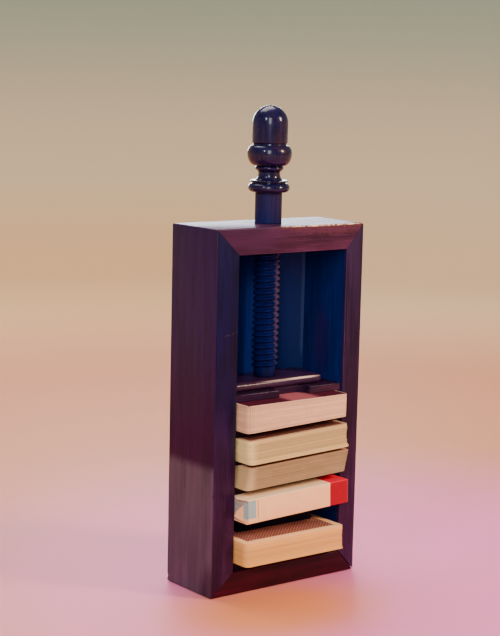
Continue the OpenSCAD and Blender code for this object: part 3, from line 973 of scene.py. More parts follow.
class CARDPRESS_OT_press_screw(Operator):
    """Wooden screw: a plain shank, a true helical thread, and the neck that turns in the plate"""

    bl_idname = "card_press.press_screw"
    bl_label = "Press screw"

    def execute(self, context):
        lo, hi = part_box("press_screw")
        axis = (lo + hi) / 2
        radius = (hi.x - lo.x) / 2
        depth = 0.0017
        root = radius - depth
        neck = 0.0045
        pitch = 0.0254 / 6
        turns = 24
        foot = 0.004
        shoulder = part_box("press_plate")[1].z + 0.0001
        start = shoulder + foot
        shank = start + turns * pitch
        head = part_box("acorn_finial")[0].z
        tenon = 0.005
        ease = 0.0004
        profile = [
            (0, lo.z), (neck, lo.z), (neck, shoulder), (root - ease, shoulder),
            (root, shoulder + ease),
            (root, shank), (radius - ease, shank + depth), (radius, shank + depth + ease),
            (radius, head - ease), (radius - ease, head), (tenon, head), (tenon, hi.z), (0, hi.z),
        ]
        screw = turned("press_screw_finished", profile, axis, 72)

        # One turn of the ridge, closed, and swept up the screw
        sunk = 0.0004
        inner = root - sunk
        crest = pitch * 0.20
        base = pitch * 0.95
        ridge = outline("ridge", [
            (axis.x + root - sunk, axis.y, start),
            (axis.x + radius, axis.y, start + (base - crest) / 2),
            (axis.x + radius, axis.y, start + (base + crest) / 2),
            (axis.x + root - sunk, axis.y, start + base),
            (axis.x + root - sunk, axis.y, start),
        ], closed=True)
        for v in ridge.data.vertices:
            v.co -= Vector((axis.x, axis.y, 0))
        steps = 48
        apply(
            ridge, "SCREW", angle=math.tau, screw_offset=pitch, iterations=turns, steps=steps,
            render_steps=steps, axis="Z", use_merge_vertices=False, use_smooth_shade=False,
        )
        fade = pitch * 0.55
        for v in ridge.data.vertices:
            angle = math.atan2(v.co.y, v.co.x) % math.tau
            reach = math.hypot(v.co.x, v.co.y)
            low = min(1.0, max(0.0, (v.co.z - start) / fade))
            high = min(1.0, max(0.0, (shank + base * 0.5 - v.co.z) / fade))
            keep = min(low, high)
            out = inner + (reach - inner) * keep
            # A hand-cut crest is never quite even
            out += 0.00007 * math.sin(angle * 3 + v.co.z * 900) * (1 if reach > root else 0)
            v.co.x, v.co.y = axis.x + math.cos(angle) * out, axis.y + math.sin(angle) * out
        edit(ridge, "VERT")
        bpy.ops.mesh.select_all(action="DESELECT")
        bpy.ops.mesh.select_non_manifold(
            extend=False, use_wire=False, use_boundary=True, use_multi_face=False,
            use_non_contiguous=False, use_verts=False,
        )
        bpy.ops.mesh.edge_face_add()
        turn_faces()
        combine(screw, ridge, "UNION")
        smooth(screw, 28)
        # Painted shade: the screw is painted navy-black, the colour of the shade in the bay
        wood = varnished(
            "screw_wood", (0.0012, 0.0066, 0.0900), "Z", 0.12, polish=0.38, coat=0.05, gloss=0.08,
            dull=[
                # Painted highlight: a lit strip down the front right of the thread
                ((axis.x + 0.0038, axis.y - 0.0086, (start + shank) / 2), (0.0038, 0.0060, 0.062),
                 (0.095, 0.056, 0.086), 0.9),
                # Painted light: the shank above the case is painted lighter
                ((axis.x, axis.y, head), (0.020, 0.020, 0.042), (0.027, 0.016, 0.048), 1.0),
                # Painted shade: the foot just above the plate is painted dark
                ((axis.x, axis.y, shoulder), (0.014, 0.014, 0.006), (0.003, 0.002, 0.012), 1.0),
            ],
        )
        finish(screw, "screw", "screw_wood", wood, "press_screw")
        return {"FINISHED"}


class CARDPRESS_OT_acorn_finial(Operator):
    """Turned and polished acorn on top of the screw"""

    bl_idname = "card_press.acorn_finial"
    bl_label = "Acorn finial"

    def execute(self, context):
        lo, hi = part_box("acorn_finial")
        axis = (lo + hi) / 2
        # Radii, heights and roundings in millimetres, from the foot up
        collar_r, collar_h = 14.4, 6.2
        disc_r, disc_round = 13.0, 0.7
        neck_r, bead_r, bead_round = 7.6, 9.8, 1.5
        cup_r, groove_r, nut_r, nut_h = 15.4, 11.5, 12.3, 26.0
        quirk = 0.6
        cup_low, cup_high = 8.6, 5.6
        disc_to_neck, neck_to_bead, nut_round = 5.3, 4.4, 0.9
        z_disc = collar_h + quirk
        z_neck = z_disc + disc_to_neck
        z_bead = z_neck + neck_to_bead
        z_cup = z_bead + bead_round
        z_rim = z_cup + cup_low
        z_groove = z_rim + cup_high
        z_nut = z_groove + 2 * quirk
        nut_wall = nut_h - nut_r
        scotia = disc_r - quirk - neck_r
        tenon_r, tenon_h = 5.05, 24.1
        cup_rise = [math.radians(a) for a in range(0, 91, 6)]
        cup_turn = [math.radians(a) for a in range(8, 91, 8)]
        nut_turn = [math.radians(a) for a in range(0, 91, 5)]
        profile = (
            [(0, tenon_h), (tenon_r, tenon_h), (tenon_r, 0.0)]
            + arc((collar_r - collar_h / 2, collar_h / 2), collar_h / 2, -86, 84, 20)
            + [(disc_r - 2 * disc_round, z_disc - quirk / 2)]
            + arc((disc_r - disc_round, z_disc + disc_round), disc_round, -90, 90, 8)
            + arc((neck_r + scotia, z_neck), scotia, 235, 180, 12)
            + [(neck_r, z_neck + bead_round)]
            + arc((bead_r - bead_round, z_bead), bead_round, -70, 80, 10)
            + [
                (bead_r + (cup_r - bead_r) * math.sin(a), z_cup + cup_low * (1 - math.cos(a)))
                for a in cup_rise
            ]
            + [
                (groove_r + (cup_r - groove_r) * math.cos(a), z_rim + cup_high * math.sin(a))
                for a in cup_turn
            ]
            + [(groove_r, z_nut - quirk / 2)]
            + arc((nut_r - nut_round, z_nut + nut_round), nut_round, -60, 0, 5)
            + [
                (nut_r * math.cos(a), z_nut + nut_wall + (nut_h - nut_wall) * math.sin(a))
                for a in nut_turn
            ]
        )
        profile = [(max(0.0, r) * MM, lo.z + z * MM) for r, z in profile]
        acorn = turned("acorn_finial_finished", profile, axis, 96)
        smooth(acorn, 35)
        wood = settings().wood
        material, tree, shader = new_material(
            "ebonised_wood", Coat_Weight=0.36, Coat_Roughness=0.045, Coat_IOR=1.5, IOR=1.45,
            Specular_IOR_Level=0.15,
        )
        fibres = grainy(tree, (0.0012, 0.0012, 0.020), 5, 0.6)
        rubbed = grainy(tree, (0.010, 0.010, 0.014), 3, 0.55)
        lathe = grainy(tree, (0.2, 0.2, 0.0007), 2, 0.5)
        colour = blend(
            tree, spread(tree, fibres, 0.4, 0.7), scaled(wood.ebonised, 0.6),
            scaled(wood.ebonised, 1.7),
        )
        colour = blend(
            tree, spread(tree, rubbed, 0.48, 0.72, 0, 0.75), colour, (0.032, 0.008, 0.020),
        )
        paint(tree, shader, colour, spread(tree, rubbed, 0.3, 0.7, 0.20, 0.34))
        relief(tree, shader, calc(tree, "ADD", times(tree, lathe, 0.4), fibres), 0.00003, 0.5)
        finish(acorn, "screw", "finial_wood", material, "acorn_finial")
        return {"FINISHED"}


class CARDPRESS_OT_foot_fastening(Operator):
    """Washer and wood screw that hold the press screw in its plate"""

    bl_idname = "card_press.foot_fastening"
    bl_label = "Foot fastening"

    def execute(self, context):
        dress(
            "foot_washer",
            metal("old_brass", (0.62, 0.42, 0.16), (0.16, 0.075, 0.025), 0.28, 0.003),
        )
        dress(
            "foot_woodscrew",
            metal("bright_steel", (0.46, 0.45, 0.43), (0.12, 0.07, 0.045), 0.32, 0.002),
        )
        return {"FINISHED"}


# ---- plate and boards


class CARDPRESS_OT_press_plate(Operator):
    """Press plate with a half-round edge, with a painted highlight and painted light and shade along the
    front
    """

    bl_idname = "card_press.press_plate"
    bl_label = "Press plate"

    def execute(self, context):
        lo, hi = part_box("press_plate")
        thick = hi.z - lo.z
        axis = (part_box("press_screw")[0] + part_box("press_screw")[1]) / 2
        plate = block("press_plate_finished", lo, hi)

        def upright(a, b):
            front = near(a.y, lo.y) and near(b.y, lo.y)
            return (1.0 if front else 0.4) if near(a.x, b.x) and near(a.y, b.y) else 0.0

        round_edges(plate, 0.0045, upright, 6)

        def rims(a, b):
            level = near(a.z, b.z) and (near(a.z, lo.z) or near(a.z, hi.z))
            if not level:
                return 0.0
            return 1.0 if max(a.y, b.y) < hi.y - 0.004 else 0.25

        round_edges(plate, thick * 0.47, rims, 6)
        neck_bore, washer_bore, washer_sunk, past = 0.00458, 0.0075, 0.003, 0.001
        for radius, low, high in (
            (neck_bore, lo.z - past, hi.z + past),
            (washer_bore, lo.z - past, lo.z + washer_sunk),
        ):
            deselect()
            bpy.ops.mesh.primitive_cylinder_add(
                vertices=64, radius=radius, depth=high - low,
                location=(axis.x, axis.y, (low + high) / 2),
            )
            cutter = new_object("bore")
            bpy.ops.object.transform_apply(location=True, rotation=True, scale=True)
            combine(plate, cutter, "DIFFERENCE")
        smooth(plate, 35)
        # Painted highlight along the rounded front edge, whitest on the right
        edge_highlight = (1.0, 0.66, 0.52)
        wood = varnished(
            "plate_wood", (0.050, 0.013, 0.064), "X", 0.66, polish=0.26, coat=0.3,
            dull=[
                # Painted light: a lit band on the top face along the front
                (
                    (axis.x - 0.004, lo.y + 0.0034, hi.z), (0.050, 0.0060, 0.0010),
                    (0.044, 0.012, 0.022), 0.7,
                ),
                # Painted light: the front edge lit greyish-brown on the left
                (
                    (axis.x - 0.026, lo.y + 0.0002, hi.z - 0.0020), (0.028, 0.0030, 0.0034),
                    (0.050, 0.017, 0.030), 0.9,
                ),
                # Painted shade: the lower front face is painted dark
                (
                    (axis.x, lo.y, lo.z + 0.0010), (0.060, 0.0030, 0.0018), (0.014, 0.004, 0.014),
                    0.9,
                ),
                # Painted highlight, dimmer, reaching further to the left
                (
                    (axis.x + 0.008, lo.y + 0.0010, hi.z - 0.0009), (0.030, 0.0014, 0.0010),
                    scaled(edge_highlight, 0.55), 1.0,
                ),
                # Painted highlight, brightest, on the right
                (
                    (axis.x + 0.022, lo.y + 0.0010, hi.z - 0.0008), (0.020, 0.0015, 0.0010), edge_highlight,
                    1.0,
                ),
            ],
        )
        finish(plate, "plate", "plate_wood", wood, "press_plate")
        return {"FINISHED"}


class CARDPRESS_OT_stack_boards(Operator):
    """Notched board, dividers, spacer block and base board"""

    bl_idname = "card_press.stack_boards"
    bl_label = "Boards of the stack"

    def execute(self, context):
        tints = {
            "notched_board": ((0.034, 0.010, 0.034), "notched_board_body"),
            "divider_1": ((0.014, 0.0030, 0.008), "divider_1_body"),
            "divider_2": ((0.014, 0.0030, 0.008), "divider_2_body"),
            "divider_3": ((0.014, 0.0030, 0.008), "divider_3_body"),
            # Painted shade: the spacer block is painted navy-black, the shade in the gap under the carton
            "spacer_block": ((0.0020, 0.0018, 0.014), "spacer_body"),
            "base_board": ((0.010, 0.0025, 0.007), "base_board_body"),
        }
        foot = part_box("notched_board")[0]
        # Painted reflection: a red tinge on the right of the notched board's front face
        painted_red_reflection = ((0.036, foot.y, foot.z), (0.026, 0.004, 0.006), (0.078, 0.024, 0.046), 0.9)
        for i, (node, (tint, body)) in enumerate(tints.items()):
            board = carved(node + "_finished", node)
            low_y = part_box(node)[0].y

            def eased(a, b):
                """Rounds the front edges, and the level edges of the finger notch."""
                if near(a.y, low_y) and near(b.y, low_y):
                    return 1.0
                level = abs(a.z - b.z) < 0.0001
                in_notch = node == "notched_board" and max(a.y, b.y) < low_y + 0.010
                return 1.0 if level and in_notch else 0.0

            round_edges(board, 0.0005, eased, 3)
            smooth(board)
            lo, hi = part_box(node)
            marks = []
            if node == "notched_board":
                # Painted highlight: a light line along the notched board's top front edge
                marks = [
                    (
                        ((lo.x + hi.x) / 2, lo.y, hi.z), (0.060, 0.0009, 0.0005),
                        (0.150, 0.095, 0.150), 0.9,
                    )
                ]
            wood = varnished(
                node + "_wood", tint, "X", 0.21 * (i + 1), polish=0.36, coat=0.05, gloss=0.06,
                marks=marks, dull=[painted_red_reflection] if marks else [],
            )
            finish(board, body, "board_wood", wood, node)
        return {"FINISHED"}


# ---- cards and carton


def slope_of(node):
    """Lower left corner, length and thickness of a sloping piece, from its box."""
    lo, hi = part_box(node)
    dx, dz = hi.x - lo.x, hi.z - lo.z
    c, s = math.cos(LEAN), math.sin(LEAN)
    length = (dx * c - dz * s) / math.cos(2 * LEAN)
    thick = (dz * c - dx * s) / math.cos(2 * LEAN)
    return Vector((lo.x + thick * s, lo.y, lo.z)), length, thick


def card_blank(name, length, width, corner, thick):
    """One card, its lower left front corner at the origin."""
    deselect()
    bpy.ops.mesh.primitive_plane_add(size=1, location=(0.5, 0.5, 0))
    card = new_object(name)
    bpy.ops.object.transform_apply(location=True, rotation=True, scale=True)
    card.data.transform(Matrix.Diagonal((length, width, 1, 1)))
    edit(card, "VERT")
    select_everything()
    bpy.ops.mesh.bevel(offset=corner, segments=5, affect="VERTICES", clamp_overlap=True)
    select_everything()
    bpy.ops.mesh.extrude_region_move(TRANSFORM_OT_translate={"value": (0, 0, thick)})
    turn_faces()
    return card


def dealt(blank, name, at, tilt, tone):
    """A copy of a card with its own mesh, tilted, laid at a point, and carrying its own tone."""
    mesh = blank.data.copy()
    mesh.transform(Matrix.Translation(at) @ Matrix.Rotation(-tilt, 4, "Y"))
    values = [min(1.0, max(0.0, tone))] * len(mesh.vertices)
    mesh.attributes.new("tone", "FLOAT", "POINT").data.foreach_set("value", values)
    copy = bpy.data.objects.new(name, mesh)
    bpy.context.scene.collection.objects.link(copy)
    return copy


def stacked(name, origin, thick, count, tilt_foot, tilt_top, shift, seed, shade=lambda share: 0.0):
    """A pack: one card copied up the stack, each copy with its own small shift and tone.
    From a card's share of the height, shift gives how far it lies to the right and back, and
    shade how much lighter or darker it is."""
    paper = settings().paper
    draw = random.Random(seed)
    rise = thick / count
    blank = card_blank(
        name + "_card", paper.card_length, paper.card_width, paper.card_corner, rise * 0.93,
    )
    copies = []
    drift_x = drift_y = tone = 0.0
    for i in range(count):
        share = (i + 0.5) / count
        drift_x = drift_x * 0.72 + draw.uniform(-0.00013, 0.00013)
        drift_y = drift_y * 0.72 + draw.uniform(-0.00016, 0.00016)
        tone = tone * 0.55 + draw.uniform(-0.26, 0.26)
        step_x, step_y = shift(share)
        tilt = tilt_foot + (tilt_top - tilt_foot) * share
        upwards = Vector((-math.sin(tilt_foot), 0, math.cos(tilt_foot)))
        base = Vector((origin.x, origin.y, origin.z)) + upwards * (rise * i)
        at = base + Vector((step_x + drift_x, step_y + max(0.0, drift_y + 0.0001), 0))
        copies.append(dealt(blank, f"{name}_{i}", at, tilt, 0.55 + tone * 0.7 + shade(share)))
    bpy.data.objects.remove(blank)
    return join(name, copies)


class CARDPRESS_OT_card_packs(Operator):
    """Four loose packs, card by card, as they have settled in the press"""

    bl_idname = "card_press.card_packs"
    bl_label = "Card packs"

    def execute(self, context):
        paper = settings().paper
        count = paper.cards_in_pack
        seed = settings().wear.seed

        # Pack 1: its foot lies on the sloping divider and its top is level
        lo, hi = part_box("pack_1")
        left_foot = Vector((lo.x, lo.y, lo.z))
        span = hi.x - lo.x
        tall = hi.z - lo.z
        drop = span * math.tan(LEAN)
        slab = tall - drop
        pack = self.wedge("pack_1_finished", left_foot, tall, slab, count, seed)
        # Dark bars across pack 1's rounded left corner: painted shade
        corner_shade_bars = (lo.x + 0.0014, lo.x + 0.0052)
        finish(
            pack, "pack_1_body", "cards_pale",
            card_edges("pale_card_edges", (0.88, 0.50, 0.295), 0, 0.10, corner_shade_bars), "pack_1",
        )

        # Pack 2: wavy right end, and a lip of paler cards pushed out at the foot
        origin, _, thick = slope_of("pack_2")

        def wavy(share):
            wave = 0.00035 * math.sin(share * 9.0 + 0.4)
            lip = max(0.0, 1 - share / 0.16)
            return wave + 0.0011 * lip, -0.0007 * min(1.0, lip * 3)

        def banded(share):
            """A pale foot, and a darker middle with one pale line, and a pale top band: a painted
            highlight.
            """
            if share < 0.17:
                return 0.45
            return 0.15 if 0.44 < share < 0.47 or share > 0.84 else -0.30

        pack = stacked("pack_2_finished", origin, thick, count, LEAN, LEAN, wavy, seed + 1, banded)
        # The back on top is painted dark: painted shade under the board above
        self.back_on_top(pack, (0.080, 0.010, 0.014))
        finish(
            pack, "pack_2_body", "cards_cream",
            card_edges("cream_card_edges", (0.62, 0.445, 0.180), -LEAN, 0.08, lit_left_end=0.6), "pack_2",
        )

        # Pack 3: pushed over to the right at the top
        origin, _, thick = slope_of("pack_3")

        def pushed(share):
            return -0.0014 + 0.0037 * share, 0.0003 * (1 - share)

        pack = stacked("pack_3_finished", origin, thick, count, LEAN, LEAN, pushed, seed + 2)
        # The back on top is painted dark: painted shade under the board above
        self.back_on_top(pack, (0.060, 0.010, 0.012))
        finish(
            pack, "pack_3_body", "cards_tan",
            card_edges("tan_card_edges", (0.34, 0.234, 0.109), -LEAN, 0.08, lit_left_end=0.9), "pack_3",
        )

        # Pack 5: the lowest cards flare out to the right
        lo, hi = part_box("pack_5")

        def flared(share):
            return 0.0013 * max(0.0, 1 - share / 0.18) ** 2, 0.0

        # Painted highlight: the top cards of pack 5 are painted lighter
        def lit_top_cards(share):
            return 0.35 if share > 0.86 else 0.0

        pack = stacked("pack_5_finished", lo, hi.z - lo.z, count, 0, 0, flared, seed + 3, lit_top_cards)
        finish(
            pack, "pack_5_body", "cards_warm",
            card_edges("warm_card_edges", (0.85, 0.425, 0.108), 0, 0.08), "pack_5",
        )
        return {"FINISHED"}

    def back_on_top(self, pack, ink):
        """The top card lies back up: its upper face gets a back with a plain border."""
        paper = settings().paper
        flat = [p for p in pack.data.polygons if p.normal.z > 0.9 and len(p.vertices) > 8]
        face = max(flat, key=lambda p: p.center.z)
        pack.data.materials.append(None)
        # A printed back whose paper and ink are painted dark, as painted shade
        pack.data.materials.append(lattice(
            pack.name + "_back", ink, (0.60, 0.38, 0.22), face.center,
            paper.card_length, paper.card_width, 0.0030, white=0.3,
        ))
        face.material_index = 1

    def wedge(self, name, foot, tall, slab, count, seed):
        """A pack that opens like a fan towards the left: level on top, sloping below."""
        paper = settings().paper
        draw = random.Random(seed)
        top = foot.z + tall
        thin = slab / count
        blank = card_blank(
            name + "_card", paper.card_length, paper.card_width, paper.card_corner, thin * 0.95,
        )
        copies = []
        drift_x = drift_y = tone = 0.0
        for i in range(count):
            share = (i + 0.5) / count
            tilt = LEAN * (1 - (i + 1) / count)
            drift_x = drift_x * 0.7 + draw.uniform(-0.00010, 0.00010)
            drift_y = drift_y * 0.7 + draw.uniform(-0.00012, 0.00012)
            tone = tone * 0.55 + draw.uniform(-0.20, 0.20)
            left_z = foot.z + (top - foot.z - slab) * (i / count) + thin * i
            at = Vector((foot.x + drift_x + 0.0002, foot.y + max(0.0, drift_y + 0.0001), left_z))
            value = 0.56 + tone * 0.7 - 0.08 * math.cos(share * 20)
            copies.append(dealt(blank, f"{name}_{i}", at, tilt, value))
        bpy.data.objects.remove(blank)
        return join(name, copies)


class CARDPRESS_OT_top_cards(Operator):
    """Top cards of the first and last packs, with red lattice backs"""

    bl_idname = "card_press.top_cards"
    bl_label = "Card backs"

    def execute(self, context):
        paper = settings().paper
        notch = 0.007
        # Pack 1's back: dark red as painted shade under the notched board, paler in the notch as painted
        # light
        for node, body, ink, cream, look in (
            ("pack_1_top_card", "pack_1_body", paper.red_back, (0.85, 0.50, 0.36),
             dict(border=0.0007, white=0.02, rubbed=(notch - 0.0125, notch + 0.0125))),
            ("pack_5_top_card", "pack_5_body", (0.105, 0.009, 0.042), (1.0, 0.58, 0.26),
             dict(border=0.0052, white=0.42, pitch=0.0027)),
        ):
            lo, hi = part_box(node)
            thick = hi.z - lo.z
            card = card_blank(
                node + "_finished", hi.x - lo.x, hi.y - lo.y, paper.card_corner, thick,
            )
            card.data.transform(Matrix.Translation(lo))
            round_edges(
                card, thick * 0.25,
                lambda a, b: 1.0 if near(a.z, hi.z) and near(b.z, hi.z) else 0.0, 2,
            )
            smooth(card)
            middle = (lo + hi) / 2
            if "rubbed" in look:
                look["rubbed"] = tuple(v - middle.x for v in look["rubbed"])
            back = lattice(node + "_back", ink, cream, middle, hi.x - lo.x, hi.y - lo.y, **look)
            finish(card, body, "card_back_red", back, node)
        return {"FINISHED"}


class CARDPRESS_OT_carton(Operator):
    """Card carton: thin board, red at its closed end, open at the left with one folded dust flap"""

    bl_idname = "card_press.carton"
    bl_label = "Carton"

    def sheet(self, name, points, thick):
        """A flat piece of board with the given outline."""
        piece = outline(name, points + points[:1], closed=True)
        edit(piece, "VERT")
        select_everything()
        bpy.ops.mesh.edge_face_add()
        bpy.ops.mesh.extrude_region_move(TRANSFORM_OT_translate={"value": thick})
        turn_faces()
        return piece

    def execute(self, context):
        paper = settings().paper
        origin, length, tall = slope_of("carton")
        lo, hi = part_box("carton")
        deep = hi.y - lo.y
        wall = 0.0006
        tube = block("carton_finished", (0, 0, 0), (length, deep, tall))
        round_edges(
            tube, 0.0005, lambda a, b: 1.0 if abs(a.x - b.x) > 0.01 or a.x > length / 2 else 0.0, 3,
        )
        hollow = block("hollow", (-0.01, wall, wall), (length - wall, deep - wall, tall - wall))
        combine(tube, hollow, "DIFFERENCE")
        # The front panel stops short of the open end, behind the folded flap
        snip = block("snip", (-0.002, -0.002, wall * 1.2), (0.0009, wall * 1.5, tall - wall * 0.8))
        combine(tube, snip, "DIFFERENCE")
        # A dust flap folded across the open end, a little ajar, and the top panel's torn lip
        swing = math.tan(math.radians(11))
        flap = self.sheet("flap", [
            (0.0002 - v * swing, v, w) for v, w in (
                (0.0004, 0.0005), (0.0004, tall - 0.0014), (0.0022, tall - 0.0024),
                (0.0095, tall - 0.0088),
                (0.0118, 0.0042), (0.0108, 0.0030),
            )
        ], (0.0004, 0, 0))
        lip = self.sheet("lip", [
            (0.0004, 0.0010, tall - wall), (0.0004, 0.0122, tall - wall),
            (-0.0016, 0.0112, tall - wall),
            (-0.0022, 0.0090, tall - wall), (-0.0009, 0.0050, tall - wall),
        ], (0, 0, wall * 0.96))
        box = join("carton_finished", [tube, flap, lip])
        box.data.transform(Matrix.Translation(origin) @ Matrix.Rotation(-LEAN, 4, "Y"))
        smooth(box)
        material, tree, shader = new_material("printed_board", IOR=1.45, Specular_IOR_Level=0.1)
        u, v, w = split(tree, place(tree, origin, (0, -LEAN, 0)))
        fleck = grainy(tree, (0.006, 0.006, 0.006), 5, 0.6)
        white = blend(
            tree, spread(tree, fleck, 0.40, 0.75, 0, 0.5), (1.0, 0.57, 0.27), (0.95, 0.50, 0.225),
        )
        # Painted light: the top face is painted lighter and warmer than the front
        top = spread(tree, w, tall - 0.0007, tall - 0.0003)
        white = blend(tree, top, white, (1.0, 0.68, 0.40))
        front = spread(tree, v, 0.0002, 0.0006, 1.0, 0.0)
        near_front = spread(tree, v, 0.0034, 0.0037, 1.0, 0.0)
        on_end = times(tree, spread(tree, u, 0.0006, 0.0009, 1.0, 0.0), near_front)
        # Painted shade: a grey-blue patch on the front panel and end beside the open end
        blue = times(
            tree, spread(tree, u, 0.0074, 0.0077, 1.0, 0.0), calc(tree, "MAXIMUM", front, on_end),
        )
        blue = times(tree, blue, between(tree, w, 0.0036, tall - 0.0008, 0.0002))
        white = blend(tree, blue, white, (0.31, 0.41, 0.40))
        rule = times(
            tree, between(tree, u, 0.0090, 0.0096, 0.0001),
            between(tree, w, 0.0030, 0.0158, 0.0002),
        )
        white = blend(tree, times(tree, rule, front), white, (0.42, 0.16, 0.10))
        # Painted shade: the faces inside the carton are painted dark teal
        edge = 0.0003
        hidden = times(
            tree, between(tree, v, wall - edge + 0.0002, deep - wall + edge - 0.0002, 0.0001),
            between(tree, w, wall - edge + 0.0002, tall - wall + edge - 0.0002, 0.0001),
        )
        inner = times(tree, hidden, spread(tree, u, 0.0007, 0.0009))
        white = blend(tree, inner, white, (0.07, 0.13, 0.15))
        red_part = spread(tree, u, length - 0.0166, length - 0.0163)
        red = blend(
            tree, spread(tree, fleck, 0.42, 0.78, 0, 0.5), paper.carton_red,
            scaled(paper.carton_red, 0.7),
        )
        # Painted light: the red top face is painted lighter
        red = blend(tree, top, red, (0.80, 0.0, 0.036))
        rubbed = times(tree, spread(tree, u, length - 0.0006, length - 0.0002), 0.55)
        red = blend(tree, rubbed, red, (0.85, 0.35, 0.28))
        paint(
            tree, shader, blend(tree, red_part, white, red),
            spread(tree, fleck, 0.3, 0.7, 0.42, 0.58),
        )
        relief(tree, shader, grainy(tree, (0.003, 0.003, 0.003), 4), 0.0002, 0.35)
        finish(box, "carton_body", "carton_white", material, "carton")

        origin, _, tall = slope_of("carton_cards")
        inner_pack = stacked(
            "carton_cards_finished", origin, tall, paper.cards_in_pack, LEAN, LEAN,
            lambda share: (0.0, 0.0), settings().wear.seed + 5,
        )
        edges = card_edges("boxed_card_edges", (0.46, 0.40, 0.34), -LEAN, 0.3)
        finish(inner_pack, "carton_body", "cards_pale", edges, "carton_cards")
        return {"FINISHED"}


# ---- stage


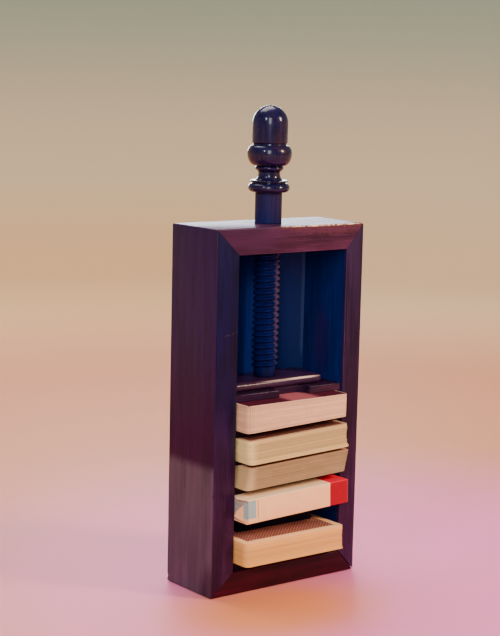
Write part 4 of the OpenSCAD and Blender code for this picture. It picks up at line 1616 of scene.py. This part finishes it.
class CARDPRESS_OT_studio(Operator):
    """Pale floor that sweeps up into a wall, soft lights and the camera"""

    bl_idname = "card_press.studio"
    bl_label = "Studio"

    def sweep(self):
        studio = settings().studio
        flat, bend, wall, level = 1.7, 0.9, 3.2, -0.0002
        profile = [(0, level), (0.5, level), (1.0, level)]
        profile += [
            (flat + bend * math.sin(a), bend * (1 - math.cos(a)) + level)
            for a in [math.radians(k) for k in range(0, 91, 6)]
        ]
        profile += [(flat + bend, wall)]
        floor = turned("studio_floor", profile, Vector((0, 0, 0)), 96)
        edit(floor)
        turn_faces(inside=True)
        smooth(floor, 60)
        material, tree, shader = new_material("studio_paper", Roughness=0.62, IOR=1.4)
        x, y, z = split(tree, place(tree))
        # The rose light falls a little to the right of the object
        rose_x, rose_y = 0.075, -0.058
        across, onward = calc(tree, "SUBTRACT", x, rose_x), calc(tree, "ADD", y, -rose_y)
        squares = calc(tree, "ADD", times(tree, across, across), times(tree, onward, onward))
        reach = calc(tree, "SQRT", squares)
        colour = blend(tree, spread(tree, reach, 0.12, 0.48), studio.floor_near, studio.floor_far)
        colour = blend(tree, spread(tree, reach, 0.75, 1.5), colour, studio.floor_edge)
        # A warmer light from the left is painted onto the floor
        aside = calc(tree, "SUBTRACT", times(tree, x, 0.79), times(tree, y, 0.61))
        tinge = blend(tree, spread(tree, aside, -0.25, 0.25), (1.0, 0.94, 0.80), (0.97, 1.0, 1.0))
        colour = blend(tree, 1.0, colour, tinge, "MULTIPLY")
        # Painted shadow: a warm orange pool where the case shades the floor in front of it
        warm = spot(tree, (-0.040, -0.065, 0), (0.115, 0.085, 0.1), hard=1.3)
        colour = blend(tree, times(tree, warm, 0.9), colour, studio.pool)
        colour = blend(tree, spread(tree, z, 0.0, 0.17), colour, studio.horizon)
        colour = blend(tree, spread(tree, z, 0.12, 0.55), colour, studio.wall)
        paint(tree, shader, colour, spread(tree, reach, 0.0, 1.0, 0.55, 0.75))
        floor.data.materials.append(material)

    def lamp(self, name, at, aim, size, power, colour, beam=180):
        deselect()
        bpy.ops.object.light_add(type="AREA", location=at)
        lamp = bpy.context.object
        lamp.name = name
        lamp.data.shape = "RECTANGLE"
        lamp.data.size, lamp.data.size_y = size
        lamp.data.energy = power
        lamp.data.spread = math.radians(beam)
        lamp.data.color = colour
        lamp.rotation_euler = (Vector(aim) - Vector(at)).to_track_quat("-Z", "Y").to_euler()
        lamp.visible_camera = False

    def camera(self):
        stand = (-0.69916, -0.88766, 0.35451)
        yaw, pitch, roll = math.radians(37.61), math.radians(8.527), math.radians(1.301)
        look = Vector(
            (math.sin(yaw) * math.cos(pitch), math.cos(yaw) * math.cos(pitch), -math.sin(pitch))
        )
        right = Vector((math.cos(yaw), -math.sin(yaw), 0))
        up = right.cross(look)
        level = math.cos(roll) * right + math.sin(roll) * up
        above = -math.sin(roll) * right + math.cos(roll) * up
        turn = Matrix((level, above, -look)).transposed().to_4x4()
        deselect()
        bpy.ops.object.camera_add()
        camera = bpy.context.object
        camera.name = "camera"
        camera.matrix_world = Matrix.Translation(stand) @ turn
        camera.data.lens = settings().studio.lens
        camera.data.sensor_width = 36
        camera.data.clip_end = 20
        bpy.context.scene.camera = camera

    def execute(self, context):
        self.sweep()
        self.camera()
        middle = (0, 0, 0.13)
        self.lamp("overhead", (0.15, 0.75, 1.9), middle, (1.5, 1.1), 44, (1.0, 0.90, 0.88))
        self.lamp(
            "back_glow", (0.92, 1.60, 0.46), (0, 0, 0.27), (0.9, 0.34), 1.6, (0.80, 0.88, 1.0), 60,
        )
        self.lamp("front_right", (0.88, -1.20, 0.95), middle, (0.25, 0.45), 29, (1.0, 0.73, 0.52))
        self.lamp("front_left", (-1.45, -0.60, 1.15), middle, (0.20, 0.34), 9, (0.84, 0.93, 1.0))
        self.lamp("window", (-0.98, -1.20, 0.80), middle, (0.42, 1.00), 17, (0.86, 0.94, 1.0))
        world = bpy.data.worlds.new("studio_air")
        bpy.context.scene.world = world
        world.use_nodes = True
        air = world.node_tree.nodes["Background"]
        air.inputs["Color"].default_value = (0.45, 0.54, 1.0, 1)
        air.inputs["Strength"].default_value = 0.55
        return {"FINISHED"}


# ---- panel


STEPS = (
    CARDPRESS_OT_studio,
    CARDPRESS_OT_case_boards,
    CARDPRESS_OT_back_panel,
    CARDPRESS_OT_press_screw,
    CARDPRESS_OT_acorn_finial,
    CARDPRESS_OT_foot_fastening,
    CARDPRESS_OT_press_plate,
    CARDPRESS_OT_stack_boards,
    CARDPRESS_OT_card_packs,
    CARDPRESS_OT_top_cards,
    CARDPRESS_OT_carton,
)


class CARDPRESS_PT_sidebar(Panel):
    """Settings and steps of the card press"""

    bl_idname = "CARDPRESS_PT_sidebar"
    bl_label = "Card press"
    bl_space_type = "VIEW_3D"
    bl_region_type = "UI"
    bl_category = "Card Press"

    def draw(self, context):
        layout = self.layout
        press = context.scene.card_press
        for group in (press.wood, press.paper, press.wear, press.studio):
            column = layout.column(align=True)
            for name in group.__annotations__:
                column.prop(group, name)
        for step in STEPS:
            layout.operator(step.bl_idname)


CLASSES = (
    CardPressWood,
    CardPressPaper,
    CardPressWear,
    CardPressStudio,
    CardPressSettings,
    *STEPS,
    CARDPRESS_PT_sidebar,
)


def register():
    for cls in CLASSES:
        bpy.utils.register_class(cls)
    bpy.types.Scene.card_press = PointerProperty(type=CardPressSettings)


def unregister():
    del bpy.types.Scene.card_press
    for cls in reversed(CLASSES):
        bpy.utils.unregister_class(cls)


def main():
    register()
    bpy.ops.card_press.studio()
    bpy.ops.card_press.case_boards()
    bpy.ops.card_press.back_panel()
    bpy.ops.card_press.press_screw()
    bpy.ops.card_press.acorn_finial()
    bpy.ops.card_press.foot_fastening()
    bpy.ops.card_press.press_plate()
    bpy.ops.card_press.stack_boards()
    bpy.ops.card_press.card_packs()
    bpy.ops.card_press.top_cards()
    bpy.ops.card_press.carton()


if __name__ == "__main__":
    main()
